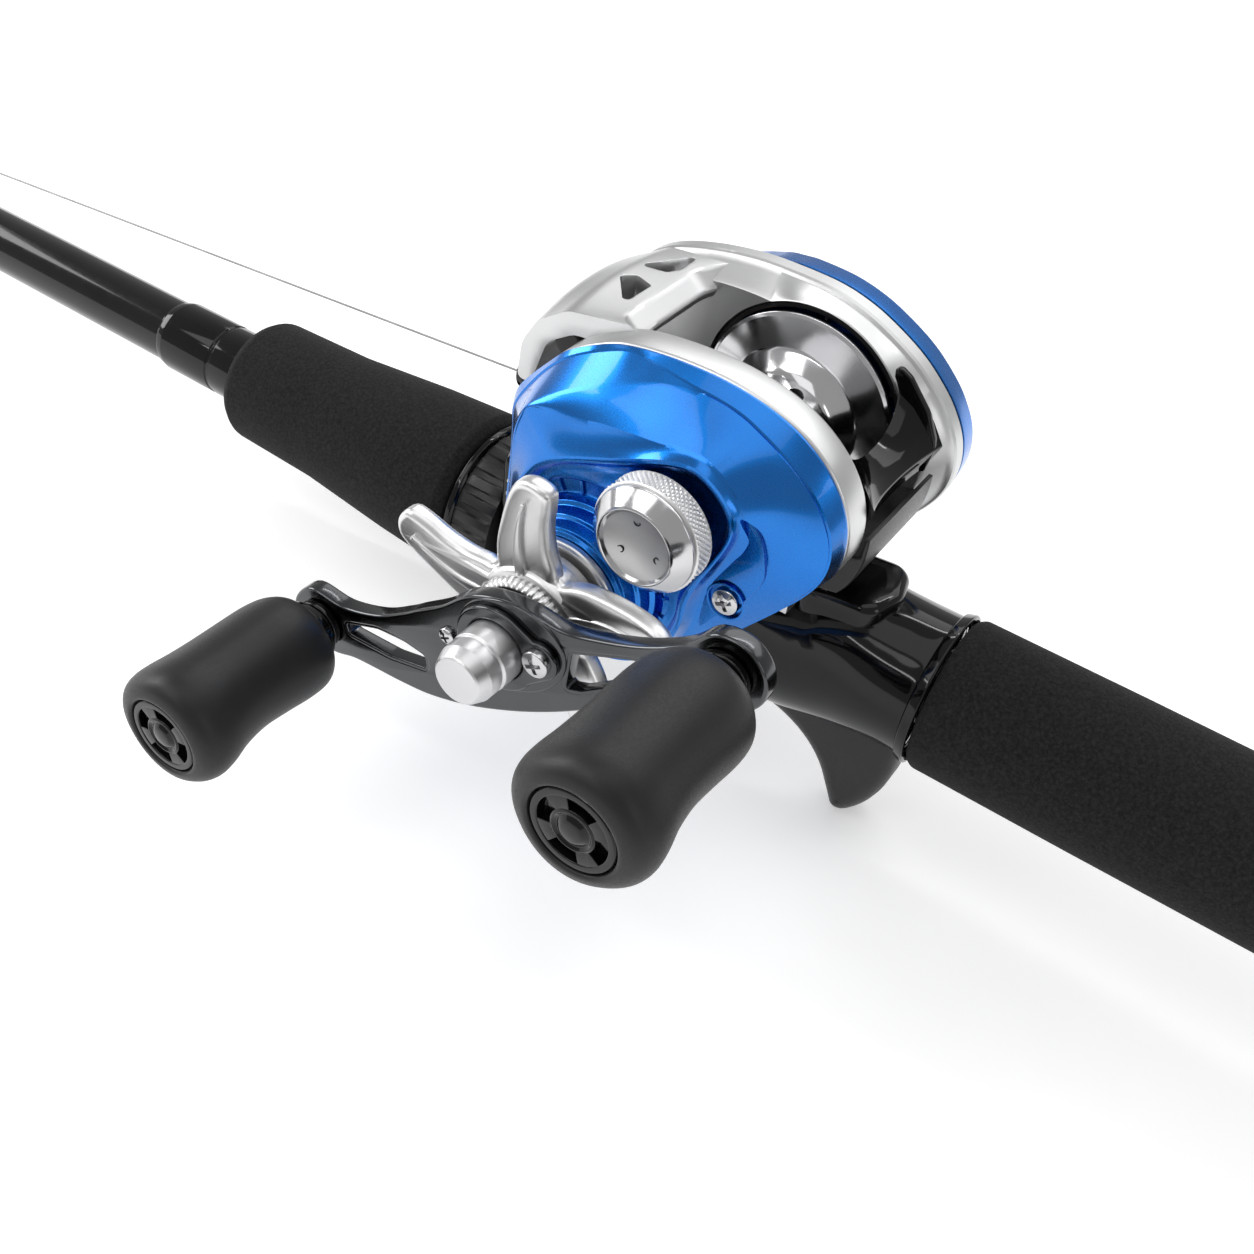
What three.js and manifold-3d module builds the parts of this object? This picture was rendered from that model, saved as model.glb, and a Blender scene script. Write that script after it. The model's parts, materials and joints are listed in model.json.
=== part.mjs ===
// Baitcasting rod and reel, rod collapsed. Millimetres, +Z up through the reel, -X towards the tip,
// handle side -Y. The group's origin is the centre of the butt cap's flat end face.
import * as THREE from 'three';
import { mergeVertices } from 'three/addons/utils/BufferGeometryUtils.js';
import Module from 'manifold-3d';

const wasm = await Module();
wasm.setup();

// ---------------------------------------------------------------- driving dimensions
const GAP = 0.3;                      // between pieces that touch
const BUTT_X = 222;                   // butt face, behind the spool axis
const BLANK_Z = -9.2;                 // blank axis, below the rear grip's axis

const REAR_GRIP = { x0: 41, x1: 206, r: 13.75, bore: 7.3 };
const CORE_R = 7.0;
const FORE_GRIP = { x0: -114.7, x1: -54.7, rFront: 12.9, rRear: 16.4, bore: 7.9 };
const LOCK_NUT = { x0: -54.4, x1: -44.4, r: 14.8 };
const HOOD = { x0: -44.1, x1: -34.3, r: 11.6 };
const SEAT_TUBE_R = 9.9;
const SEAT_TOP = 7.7;                 // platform that carries the reel foot
const FOOT = { z0: 8.0, z1: 9.8, x0: -41, x1: 24.5, w: 12.6 };

const SECTION_END = -288;             // top end of the butt section, rod collapsed
const SECTION_STEP = 16.5;            // how far each section stands out of the one before
const SECTION_LENGTH = 285;
const SECTION_R = [6.3, 5.35, 4.45, 3.55, 2.65];
const SECTION_WALL = 0.6;
const BUTT_ROOT_R = 6.9;
const RING_HEIGHT = [12.8, 11.0, 9.6, 8.2, 6.8];
const RING_R = [4.2, 3.4, 2.8, 2.3, 1.8];
const LINE_R = 0.2;

const SPOOL = { z: 31.5, flangeR: 17.5, hubR: 8.6, half: 10.6, bore: 1.75 };
const DRIVE = { x: -12.6, z: 14.1, r: 3.8 };
const WORM = { x: -30.2, z: 14.5, r: 2.2 };
const GUIDE_BAR = { x: -38, z: 19, r: 1.2 };
const LINE_GUIDE_Y = -4;
const EYE = { x: -44, z: 26.4, r: 1.9 };

const WALL = { inner: 12, handle: 18.3, palm: 20.5 };  // frame side walls, from the centre plane
const HANDLE_PLATE_Y = -30.5;
const PALM_PLATE_Y = 27;

const DRIVE_TEETH = 62;
const PINION_TEETH = 10;
const COG_TEETH = 30;
const WORM_TEETH = 12;

const CRANK = { y0: -52, y1: -48.8, reach: 40.35, tilt: 0.44 };
const KNOB = { y0: -87.1, y1: -56.5 };

// ---------------------------------------------------------------- materials
function finish(color, roughness, metalness) {
  return () => new THREE.MeshStandardMaterial({ color, roughness, metalness });
}
const foam = finish(0x1a1a1b, 0.95, 0);
const glossBlack = finish(0x0b0b0c, 0.15, 0);
const satinBlack = finish(0x161617, 0.45, 0);
const graphite = finish(0x0e0e10, 0.2, 0.1);
const blue = finish(0x0b5fd0, 0.3, 0.7);
const silver = finish(0xd4d6d8, 0.35, 0.9);
const polished = finish(0xe2e3e4, 0.12, 1);
const gunmetal = finish(0x3d3f42, 0.3, 0.9);
const brass = finish(0xb88a3c, 0.35, 0.9);
const steel = finish(0xa9abad, 0.3, 1);
const carbon = finish(0x222224, 0.7, 0);
const softTouch = finish(0x19191a, 0.6, 0);
const ceramic = finish(0x2b2b2e, 0.2, 0);
const nylon = finish(0xe9e7e0, 0.5, 0);
const lineGrey = finish(0xb9bcc0, 0.4, 0);

// ---------------------------------------------------------------- shape helpers
// A turned piece about X: points are [x, radius], closed by the axis or by the profile itself.
function turnedX(points, segments = 20) {
  return turnedY(points, segments).rotateZ(-Math.PI / 2);
}

// A turned piece about Y: points are [y, radius].
function turnedY(points, segments = 20) {
  const rising = signedArea(points) < 0 ? points : [...points].reverse();
  const profile = rising.map(([y, r]) => new THREE.Vector2(r, y));
  profile.push(profile[0].clone());
  return new THREE.LatheGeometry(profile, segments);
}

function signedArea(points) {
  let sum = 0;
  points.forEach(([a, b], i) => {
    const [c, d] = points[(i + 1) % points.length];
    sum += a * d - c * b;
  });
  return sum / 2;
}

function tubeX(x0, x1, rOut, rIn, segments = 20) {
  return turnedX([[x0, rIn], [x0, rOut], [x1, rOut], [x1, rIn]], segments);
}

function tubeY(y0, y1, rOut, rIn, segments = 20) {
  return turnedY([[y0, rIn], [y0, rOut], [y1, rOut], [y1, rIn]], segments);
}

function rodY(y0, y1, r, segments = 14) {
  return turnedY([[y0, 0], [y0, r], [y1, r], [y1, 0]], segments);
}

function rodX(x0, x1, r, segments = 14) {
  return turnedX([[x0, 0], [x0, r], [x1, r], [x1, 0]], segments);
}

// A flat outline in X and Z, given depth along Y from y0 to y1.
function slabY(shape, y0, y1, curveSegments = 6) {
  const body = new THREE.ExtrudeGeometry(shape, { depth: y1 - y0, bevelEnabled: false, curveSegments });
  return body.rotateX(Math.PI / 2).translate(0, y1, 0);
}

// A flat outline in Y and Z, given depth along X from x0 to x1.
function slabX(shape, x0, x1, curveSegments = 6) {
  const body = new THREE.ExtrudeGeometry(shape, { depth: x1 - x0, bevelEnabled: false, curveSegments });
  return body.rotateX(Math.PI / 2).rotateZ(Math.PI / 2).translate(x0, 0, 0);
}

function box(x0, x1, y0, y1, z0, z1) {
  const body = new THREE.BoxGeometry(x1 - x0, y1 - y0, z1 - z0);
  return body.translate((x0 + x1) / 2, (y0 + y1) / 2, (z0 + z1) / 2);
}

function circle(x, z, r) {
  const shape = new THREE.Shape();
  shape.absarc(x, z, r, 0, Math.PI * 2, false);
  return shape;
}

function outline(points) {
  return new THREE.Shape(points.map(([x, z]) => new THREE.Vector2(x, z)));
}

// ---------------------------------------------------------------- boolean helpers
function toSolid(geometry) {
  const bare = geometry.clone();
  bare.deleteAttribute('normal');
  bare.deleteAttribute('uv');
  const welded = mergeVertices(bare, 1e-4);
  const index = welded.index.array;
  const kept = [];
  for (let i = 0; i < index.length; i += 3) {
    const [a, b, c] = [index[i], index[i + 1], index[i + 2]];
    if (a !== b && b !== c && c !== a) kept.push(a, b, c);
  }
  const mesh = new wasm.Mesh({
    numProp: 3,
    vertProperties: new Float32Array(welded.attributes.position.array),
    triVerts: new Uint32Array(kept),
  });
  return new wasm.Manifold(mesh);
}

function toGeometry(solid) {
  const mesh = solid.getMesh();
  const geometry = new THREE.BufferGeometry();
  geometry.setAttribute('position', new THREE.BufferAttribute(new Float32Array(mesh.vertProperties), 3));
  geometry.setIndex(new THREE.BufferAttribute(new Uint32Array(mesh.triVerts), 1));
  geometry.computeVertexNormals();
  return geometry;
}

function combine(adds, cuts = []) {
  let solid = toSolid(adds[0]);
  for (const more of adds.slice(1)) solid = solid.add(toSolid(more));
  for (const cut of cuts) solid = solid.subtract(toSolid(cut));
  return toGeometry(solid);
}

// ---------------------------------------------------------------- scene graph
const rig = new THREE.Group();
const station = new THREE.Group();     // origin on the spool's X, on the rear grip's axis
station.position.set(-BUTT_X, 0, 0);
rig.add(station);

function piece(name, geometry, material, place = [0, 0, 0], turn = [0, 0, 0]) {
  const mesh = new THREE.Mesh(geometry, material());
  mesh.name = name;
  mesh.position.set(...place);
  mesh.rotation.set(...turn);
  station.add(mesh);
  return mesh;
}

const ON_BLANK = [0, 0, BLANK_Z];
const ON_SPOOL = [0, 0, SPOOL.z];
const ON_DRIVE = [DRIVE.x, 0, DRIVE.z];

// ---------------------------------------------------------------- rear handle
function rearHandle() {
  const { x0, x1, r, bore } = REAR_GRIP;
  piece('butt_cap', turnedX([[x1 + GAP, 0], [x1 + GAP, r - 0.2], [BUTT_X - 2.5, r - 0.2],
    [BUTT_X, r - 2.6], [BUTT_X, 0]], 22), satinBlack);
  piece('rear_grip', turnedX([[x0 + GAP, bore], [x0 + GAP, r - 0.8], [x0 + 1.2, r], [x1 - 0.8, r],
    [x1, r - 0.8], [x1, bore]], 22), foam);
  piece('rear_grip_ring', tubeX(x0 - 1.7, x0, r + 0.15, bore, 22), polished);
  piece('handle_core', tubeX(24, x1, CORE_R, CORE_R - 1.5, 20), graphite);
}

// ---------------------------------------------------------------- reel seat
function seatSide() {
  const shape = new THREE.Shape();
  shape.moveTo(-40, BLANK_Z);
  shape.lineTo(-40, SEAT_TOP - 1);
  shape.lineTo(-39, SEAT_TOP);
  shape.lineTo(15.5, SEAT_TOP);
  shape.lineTo(16.5, 11);
  shape.quadraticCurveTo(20, 12, 22.5, 14.2);
  shape.quadraticCurveTo(24.5, 15.6, 28, 15);
  shape.quadraticCurveTo(31, 13.8, 32, 10.8);
  shape.lineTo(32, -6);
  shape.lineTo(20, BLANK_Z - 7);
  shape.lineTo(-32, BLANK_Z - 3);
  return shape;
}

function triggerSide() {
  const shape = new THREE.Shape();
  shape.moveTo(2, -14);
  shape.quadraticCurveTo(21, -17.5, 26, -27);
  shape.quadraticCurveTo(27.8, -31, 29, -34);
  shape.quadraticCurveTo(30.5, -36.4, 33, -34.6);
  shape.quadraticCurveTo(38.6, -28, 38.6, -20);
  shape.lineTo(38.6, -6);
  shape.lineTo(6, -6);
  return shape;
}

function reelSeat() {
  const tube = rodX(-39.6, 16, SEAT_TUBE_R, 24).translate(0, 0, BLANK_Z);
  const thread = rodX(-60, -39, 9.4, 24).translate(0, 0, BLANK_Z);
  const cheek = rodX(-4, 14, 10.6, 20).translate(0, 0, BLANK_Z + 1);
  const barrel = turnedX([[16, 0], [16, 10.4], [22, 12.4], [39, 12.9], [39, 0]], 22);
  const block = slabY(seatSide(), -8.6, 8.6, 4);
  const trigger = slabY(triggerSide(), -4.6, 4.6, 5);
  const blankBore = rodX(-61, 12.5, 7.2, 20).translate(0, 0, BLANK_Z);
  const coreBore = rodX(23.5, 40, REAR_GRIP.bore, 20);
  const pocket = box(15, 25, -6.6, 6.6, SEAT_TOP, FOOT.z1 + GAP);
  const body = combine([tube, thread, cheek, barrel, block, trigger], [blankBore, coreBore, pocket]);
  piece('reel_seat', body, glossBlack);
}

function hoodShape(round, halfWidth, top) {
  const shape = new THREE.Shape();
  const side = Math.min(halfWidth, round * 0.98);
  const start = Math.acos(side / round);
  shape.absarc(0, BLANK_Z, round, start, Math.PI - start, true);
  shape.lineTo(-side, top - 1.5);
  shape.lineTo(-side + 1.5, top);
  shape.lineTo(side - 1.5, top);
  shape.lineTo(side, top - 1.5);
  return shape;
}

function hoodAndNut() {
  const outer = slabX(hoodShape(HOOD.r, 10.8, 12.4), HOOD.x0, HOOD.x1, 8);
  const bore = rodX(HOOD.x0 - 1, HOOD.x1 + 1, SEAT_TUBE_R + GAP, 24).translate(0, 0, BLANK_Z);
  const slot = box(HOOD.x0 + 2.2, HOOD.x1 + 1, -8.9, 8.9, BLANK_Z, FOOT.z1 + GAP);
  piece('sliding_hood', combine([outer], [bore, slot]), glossBlack);

  const { x0, x1, r } = LOCK_NUT;
  const ribs = [];
  const count = 20;
  const shape = new THREE.Shape();
  for (let i = 0; i < count * 2; i += 1) {
    const a = (i / (count * 2)) * Math.PI * 2;
    const reach = i % 2 ? r - 0.7 : r;
    ribs.push(new THREE.Vector2(reach * Math.cos(a), reach * Math.sin(a)));
  }
  shape.setFromPoints(ribs);
  shape.holes.push(circle(0, 0, 9.8));
  const ribbed = slabX(shape, x0 + 1.5, x1, 8);
  const collar = tubeX(x0, x0 + 2, r + 0.6, 9.8, 22);
  piece('lock_nut', combine([ribbed, collar]), satinBlack, ON_BLANK);
}

function foreGrip() {
  const { x0, x1, rFront, rRear, bore } = FORE_GRIP;
  const profile = [[x0, bore], [x0, rFront - 1.6], [x0 + 1.8, rFront], [x0 + 22, rFront + 0.6],
    [x1 - 16, rRear - 0.9], [x1 - 1.5, rRear], [x1, rRear - 1.2], [x1, 9.8], [-66, 9.8], [-66, bore]];
  piece('fore_grip', turnedX(profile, 22), foam, ON_BLANK);
}

// ---------------------------------------------------------------- blank and guides
function sectionEnd(i) {
  return SECTION_END - i * SECTION_STEP;
}

function blank() {
  const inner = SECTION_R[0] - SECTION_WALL;
  const end = sectionEnd(0);
  piece('butt_section', turnedX([[end, inner], [end, SECTION_R[0]], [-115, BUTT_ROOT_R], [12, BUTT_ROOT_R],
    [12, inner]], 24), graphite, ON_BLANK);
  piece('blank_collar', turnedX([[-139, 7.05], [-139, 7.25], [-137.5, 7.6], [-110, 7.6], [-110, 7.2]], 24),
    glossBlack, ON_BLANK);
  for (let i = 1; i < 5; i += 1) movingSection(i);
}

function movingSection(i) {
  const tip = sectionEnd(i);
  const root = tip + SECTION_LENGTH;
  const r = SECTION_R[i];
  const last = i === 4;
  const profile = last
    ? [[tip, 0], [tip, 1.1], [root, r], [root, 0]]
    : [[tip, r - SECTION_WALL], [tip, r], [root, r], [root, r - SECTION_WALL]];
  piece(`rod_section_${i + 1}`, turnedX(profile, 20), graphite, ON_BLANK);
}

// A guide on the end of section i: a winding sleeve, a leg and a ring round the line.
function lineGuideOnRod(i) {
  const end = sectionEnd(i);
  const r = i === 4 ? 1.35 : SECTION_R[i];
  const length = i === 4 ? 9 : 12;
  const front = i === 4 ? end - 1 : end + 1;
  const sleeve = i === 4
    ? turnedX([[front, 0], [front, r + 1], [front + length, r + 1], [front + length, r + 0.2],
      [end - GAP + 0.1, r + 0.2], [end - GAP + 0.1, 0]], 16)
    : tubeX(front, front + length, r + 0.9, r + 0.2, 16);
  const ringX = front + 2.2;
  const ring = tubeX(-0.9, 0.9, RING_R[i] + 1.3, RING_R[i], 16).translate(ringX, 0, RING_HEIGHT[i]);
  const foot = r + 0.55;
  const neck = RING_HEIGHT[i] - RING_R[i] - 0.4;
  const leg = outline([[ringX - 0.8, foot], [ringX - 0.8, neck], [ringX + 0.8, neck],
    [ringX + length * 0.6, foot]]);
  const body = combine([sleeve, ring, slabY(leg, -0.9, 0.9)]);
  piece(i === 4 ? 'tip_top' : `rod_guide_${i + 1}`, body, gunmetal, ON_BLANK);
}

// ---------------------------------------------------------------- fishing line
function linePath(points, x0) {
  const path = new THREE.CurvePath();
  const nodes = points.map(([x, y, z]) => new THREE.Vector3(x - x0, y, z));
  for (let i = 1; i < nodes.length; i += 1) path.add(new THREE.LineCurve3(nodes[i - 1], nodes[i]));
  return path;
}

function lineThrough(i) {
  const front = i === 4 ? sectionEnd(i) - 1 : sectionEnd(i) + 1;
  return [front + 2.2, 0, BLANK_Z + RING_HEIGHT[i] - RING_R[i] + LINE_R + 0.35];
}

function fishingLine() {
  const section = circle(0, 0, LINE_R);
  const sweep = (points, steps) => new THREE.ExtrudeGeometry(section, {
    extrudePath: linePath(points, 0), steps, bevelEnabled: false, curveSegments: 2,
  });
  const first = lineThrough(0);
  const arbor = [-3, LINE_GUIDE_Y, SPOOL.z + SPOOL.hubR + 0.9];
  const eye = [EYE.x, LINE_GUIDE_Y, EYE.z - EYE.r + LINE_R + GAP];
  piece('line_reel_to_guide', sweep([arbor, eye, [first[0] + 1.6, 0, first[2] + 0.15]], 40), lineGrey);
  const run = [[first[0] + 1.2, 0, first[2] + 0.1], first];
  for (let i = 1; i < 5; i += 1) run.push(lineThrough(i));
  const tip = lineThrough(4);
  run.push([tip[0] - 3, 0, tip[2] - 0.4]);
  piece('line_guides_to_tip', sweep(run, 24), lineGrey);
}

// ---------------------------------------------------------------- reel body
// The side view of the reel's body, shared by the frame walls and both side plates.
function bodyOutline() {
  const shape = new THREE.Shape();
  shape.moveTo(-40, 0);
  shape.lineTo(-40, 30);
  shape.quadraticCurveTo(-38.5, 37, -24, 46.4);
  shape.quadraticCurveTo(-12, 50.6, 1, 49.8);
  shape.bezierCurveTo(18, 49, 27.5, 41, 28.4, 30);
  shape.bezierCurveTo(28.8, 24, 25, 18, 17.5, 12.5);
  shape.lineTo(6.5, 3.5);
  shape.quadraticCurveTo(-2, -7, -14, -7.4);
  shape.lineTo(-32, -7.4);
  shape.quadraticCurveTo(-40, -7.4, -40, 0);
  return shape;
}

// The body's outline as a slab along Y whose two ends can be drawn in: each inset is
// { front, rear, top, bottom } in millimetres. The handle side is the shorter of the two.
const HANDLE_EDGE = { front: 1.8, rear: 3.6, top: -0.8, bottom: 0.6 };
const PALM_EDGE = { front: 0, rear: 1.2, top: -1.4, bottom: 0 };
const EXTENT = { front: -40, rear: 28.4, top: 49.9, bottom: -7.4 };

function drawIn(value, low, high, fromLow, fromHigh) {
  return value + fromLow + ((value - low) / (high - low)) * (-fromLow - fromHigh);
}

function bodySlab(yA, insetA, yB, insetB) {
  const slab = slabY(bodyOutline(), Math.min(yA, yB), Math.max(yA, yB), 4);
  const place = slab.attributes.position;
  for (let i = 0; i < place.count; i += 1) {
    const inset = Math.abs(place.getY(i) - yA) < Math.abs(place.getY(i) - yB) ? insetA : insetB;
    place.setX(i, drawIn(place.getX(i), EXTENT.front, EXTENT.rear, inset.front, inset.rear));
    place.setZ(i, drawIn(place.getZ(i), EXTENT.bottom, EXTENT.top, inset.bottom, inset.top));
  }
  return slab;
}

function deeper(inset, d) {
  return Object.fromEntries(Object.entries(inset).map(([side, value]) => [side, value + d]));
}

function hole(x, z, r, y0, y1, segments = 16) {
  return rodY(y0, y1, r, segments).translate(x, 0, z);
}

const HANDLE_SCREW = { x: 11.6, z: 21.5 };
const PALM_SCREW = { x: -30, z: 20 };

function deckSide() {
  return outline([[-41, 31], [-39.6, 38], [-36.5, 44.5], [-31, 48.2], [-14, 50.2], [-12.6, 47.4],
    [-30, 45.6], [-34.2, 42.6], [-37, 37], [-38.2, 31]]);
}

// The palm-side wall rises with the deck at the front.
function shoulder(y0, y1) {
  const side = [[-40, 20], [-40.6, 31], [-39.4, 38], [-36.3, 44.5], [-31, 48.2], [-14, 50.8], [-12, 20]];
  return slabY(outline(side), y0, y1);
}

function deckCut(points) {
  return new THREE.ExtrudeGeometry(outline(points), { depth: 40, bevelEnabled: false }).translate(0, 0, 20);
}

function reelFrame() {
  const { inner, handle, palm } = WALL;
  const handleWall = bodySlab(-handle, HANDLE_EDGE, -inner, deeper(HANDLE_EDGE, 0.5));
  const palmWall = combine([bodySlab(palm, PALM_EDGE, inner, PALM_EDGE), shoulder(inner, palm - 1)]);
  const deck = slabY(deckSide(), -inner - 2, inner + 0.5);
  const floor = box(-24.5, 15.5, -inner - 0.5, inner + 0.5, 10.1, 12.4);
  const frontBar = box(-40, -36.4, -inner - 0.5, inner + 0.5, 13.0, 15.4);
  const cuts = [
    hole(0, SPOOL.z, 6, -19, -11, 18),
    hole(0, SPOOL.z, 18.2, 11, 22, 24),
    hole(DRIVE.x, DRIVE.z, 2.3, -19, -14),
    hole(WORM.x, WORM.z, 2.5, -19, -11),
    deckCut([[-33.5, -9.5], [-34, -1.5], [-26.5, -9]]),
    deckCut([[-32.5, 5], [-21.5, -4], [-19.5, 8]]),
    hole(HANDLE_SCREW.x, HANDLE_SCREW.z, 1.5, -19, -14, 10),
    hole(PALM_SCREW.x, PALM_SCREW.z, 1.5, 15, 22, 10),
  ];
  piece('reel_frame', combine([handleWall, palmWall, deck, floor, frontBar], cuts), silver);

  const foot = new THREE.Shape();
  const half = FOOT.w / 2;
  foot.moveTo(FOOT.x0, -half + 3);
  foot.lineTo(FOOT.x0 + 8, -half);
  foot.lineTo(FOOT.x1 - 8, -half);
  foot.lineTo(FOOT.x1, -half + 2);
  foot.lineTo(FOOT.x1, half - 2);
  foot.lineTo(FOOT.x1 - 8, half);
  foot.lineTo(FOOT.x0 + 8, half);
  foot.lineTo(FOOT.x0, half - 3);
  const plate = new THREE.ExtrudeGeometry(foot, { depth: FOOT.z1 - FOOT.z0, bevelEnabled: false });
  piece('reel_foot', plate.translate(0, 0, FOOT.z0), steel);

  piece('guide_bar', rodY(-inner + GAP, inner - GAP, GUIDE_BAR.r, 12), steel,
    [GUIDE_BAR.x, 0, GUIDE_BAR.z]);
}

// A side plate: a shell that draws in from its rim to a shoulder and then to its face.
function plateShell([rimY, rimInset], [shoulderY, shoulderInset], [faceY, faceInset], wall) {
  const inward = Math.sign(rimY - faceY);
  const outer = [bodySlab(rimY, rimInset, shoulderY, shoulderInset),
    bodySlab(shoulderY, shoulderInset, faceY, faceInset)];
  const hollow = bodySlab(rimY + inward, deeper(rimInset, wall), faceY + inward * wall,
    deeper(faceInset, wall));
  return { outer, hollow };
}

function handleSidePlate() {
  const rimY = -WALL.handle - GAP;
  const shoulderInset = { front: 5.2, rear: 4.8, top: 1.4, bottom: 2 };
  const faceInset = { front: 9, rear: 7.6, top: 6, bottom: 4.5 };
  const { outer, hollow } = plateShell([rimY, HANDLE_EDGE], [-26.8, shoulderInset],
    [HANDLE_PLATE_Y, faceInset], 1.5);
  const onDrive = (body) => body.translate(DRIVE.x, 0, DRIVE.z);
  const gearCase = onDrive(rodY(HANDLE_PLATE_Y, rimY, 20.5, 28));
  const gearRoom = onDrive(rodY(HANDLE_PLATE_Y + 1.5, -17, 19.4, 28));
  const wormRoom = rodY(-22.2, -17, 6.2, 16).translate(WORM.x, 0, WORM.z);
  const driveBoss = onDrive(rodY(-35.5, -28, 9.6, 20));
  const capBoss = rodY(-35, -28, 6.4, 18).translate(0, 0, SPOOL.z);
  const post = hole(HANDLE_SCREW.x, HANDLE_SCREW.z, 3.2, -29.5, rimY, 12);
  const cuts = [
    hole(DRIVE.x, DRIVE.z, 7.5, -36, -27, 20),
    hole(0, SPOOL.z, 3.9, -36, -27, 14),
    onDrive(rodY(-28.9, -17, 19.4, 28)),
    hole(HANDLE_SCREW.x, HANDLE_SCREW.z, 1.5, -33, -17, 10),
    hole(HANDLE_SCREW.x, HANDLE_SCREW.z, 2.7, -33, -27.6, 12),
  ];
  const shell = combine([...outer, gearCase], [hollow, gearRoom, wormRoom]);
  piece('handle_side_plate', combine([shell, driveBoss, capBoss, post], cuts), blue);
  const screw = turnedY([[-29.4, 0], [-29.4, 1.9], [-28.9, 2.4], [-27.9, 2.4], [-27.9, 1.2], [-14.5, 1.2],
    [-14.5, 0]], 12);
  piece('handle_plate_screw', screw, steel, [HANDLE_SCREW.x, 0, HANDLE_SCREW.z]);
}

function palmSidePlate() {
  const rimY = WALL.palm + GAP;
  const { outer, hollow } = plateShell([rimY, PALM_EDGE], [24.4, deeper(PALM_EDGE, 0.3)],
    [PALM_PLATE_Y, deeper(PALM_EDGE, 3.6)], 1.5);
  const bearingSeat = tubeY(19.8, 26, 5.6, 3.9, 18).translate(0, 0, SPOOL.z);
  const drum = tubeY(17, 26, 12.2, 10.8, 22).translate(0, 0, SPOOL.z);
  const post = hole(PALM_SCREW.x, PALM_SCREW.z, 3.4, rimY, 26, 12);
  const cuts = [
    hole(0, SPOOL.z, 7.2, 25.9, 29, 20),
    hole(PALM_SCREW.x, PALM_SCREW.z, 1.5, 15, 30, 10),
    hole(PALM_SCREW.x, PALM_SCREW.z, 2.7, 24.6, 30, 12),
  ];
  piece('palm_side_plate', combine([combine(outer, [hollow]), bearingSeat, drum, post], cuts), blue);
  const screw = turnedY([[25.9, 0], [25.9, 1.9], [25.4, 2.4], [24.9, 2.4], [24.9, 1.2], [15.5, 1.2],
    [15.5, 0]], 12);
  piece('palm_plate_screw', screw, steel, [PALM_SCREW.x, 0, PALM_SCREW.z]);
  piece('brake_dial', turnedY([[26.2, 0], [26.2, 6.9], [28.2, 6.9], [28.8, 6.3], [28.8, 0]], 20), satinBlack,
    ON_SPOOL);
}

function rearCover() {
  const shape = new THREE.Shape();
  shape.moveTo(22.6, 17.6);
  shape.lineTo(18.4, 17.6);
  shape.quadraticCurveTo(20.5, 23, 20.5, 29.5);
  shape.lineTo(27, 29.5);
  shape.quadraticCurveTo(26.6, 22, 22.6, 17.6);
  piece('rear_cover', slabY(shape, -WALL.inner + GAP, WALL.inner - GAP, 6), satinBlack);
}

function thumbBar() {
  const shape = new THREE.Shape();
  shape.moveTo(20.2, 33);
  shape.lineTo(27.2, 33);
  shape.quadraticCurveTo(26.6, 39, 20.5, 44.4);
  shape.quadraticCurveTo(17.6, 45.2, 17.2, 43);
  shape.quadraticCurveTo(20.6, 39, 20.2, 33);
  piece('thumb_bar', slabY(shape, -WALL.inner + GAP, WALL.inner - GAP, 6), glossBlack);
}

// ---------------------------------------------------------------- gears
function gearShape(teeth, module, boreR, backlash, phase) {
  const pitch = (teeth * module) / 2;
  const angle = THREE.MathUtils.degToRad(25);
  const base = pitch * Math.cos(angle);
  const tip = pitch + 0.7 * module;
  const root = pitch - 1.0 * module;
  const half = Math.PI / teeth / 2 - backlash / 2 / pitch;
  const involute = (r) => {
    const t = Math.acos(Math.min(1, base / r));
    return Math.tan(t) - t;
  };
  const flank = (r) => half + involute(pitch) - involute(Math.max(r, base));
  const points = [];
  const radii = teeth > 20 ? [root, tip] : [root, Math.max(base, root + 0.01), pitch, tip];
  for (let i = 0; i < teeth; i += 1) {
    const centre = phase + (i / teeth) * Math.PI * 2;
    for (const r of radii) points.push([r, centre - flank(r)]);
    for (const r of [...radii].reverse()) points.push([r, centre + flank(r)]);
  }
  const shape = outline(points.map(([r, a]) => [r * Math.cos(a), r * Math.sin(a)]));
  shape.holes.push(circle(0, 0, boreR));
  return shape;
}

// Two meshing gears: the driver has a tooth on the line of centres, the driven one a gap.
function gearPair(driver, driven, distance, towards, teethA, teethB, boreA, boreB) {
  const module = (2 * distance) / (teethA + teethB);
  const a = gearShape(teethA, module, boreA, 0.12, towards);
  const b = gearShape(teethB, module, boreB, 0.12, towards + Math.PI + Math.PI / teethB);
  piece(driver.name, slabY(a, driver.y0, driver.y1, 5), driver.material, driver.place);
  piece(driven.name, slabY(b, driven.y0, driven.y1, 4), driven.material, driven.place);
}

function gearTrain() {
  const toSpool = { x: -DRIVE.x, z: SPOOL.z - DRIVE.z };
  const toWorm = { x: WORM.x - DRIVE.x, z: WORM.z - DRIVE.z };
  gearPair(
    { name: 'drive_gear', y0: -25.6, y1: -22, material: brass, place: ON_DRIVE },
    { name: 'pinion', y0: -26.6, y1: -20.5, material: brass, place: ON_SPOOL },
    Math.hypot(toSpool.x, toSpool.z), Math.atan2(toSpool.z, toSpool.x),
    DRIVE_TEETH, PINION_TEETH, DRIVE.r + GAP, SPOOL.bore,
  );
  gearPair(
    { name: 'level_wind_cog', y0: -21, y1: -18.8, material: nylon, place: ON_DRIVE },
    { name: 'worm_gear', y0: -21, y1: -18.8, material: nylon, place: [WORM.x, 0, WORM.z] },
    Math.hypot(toWorm.x, toWorm.z), Math.atan2(toWorm.z, toWorm.x),
    COG_TEETH, WORM_TEETH, DRIVE.r + GAP, 1.6 + GAP,
  );
}

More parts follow.
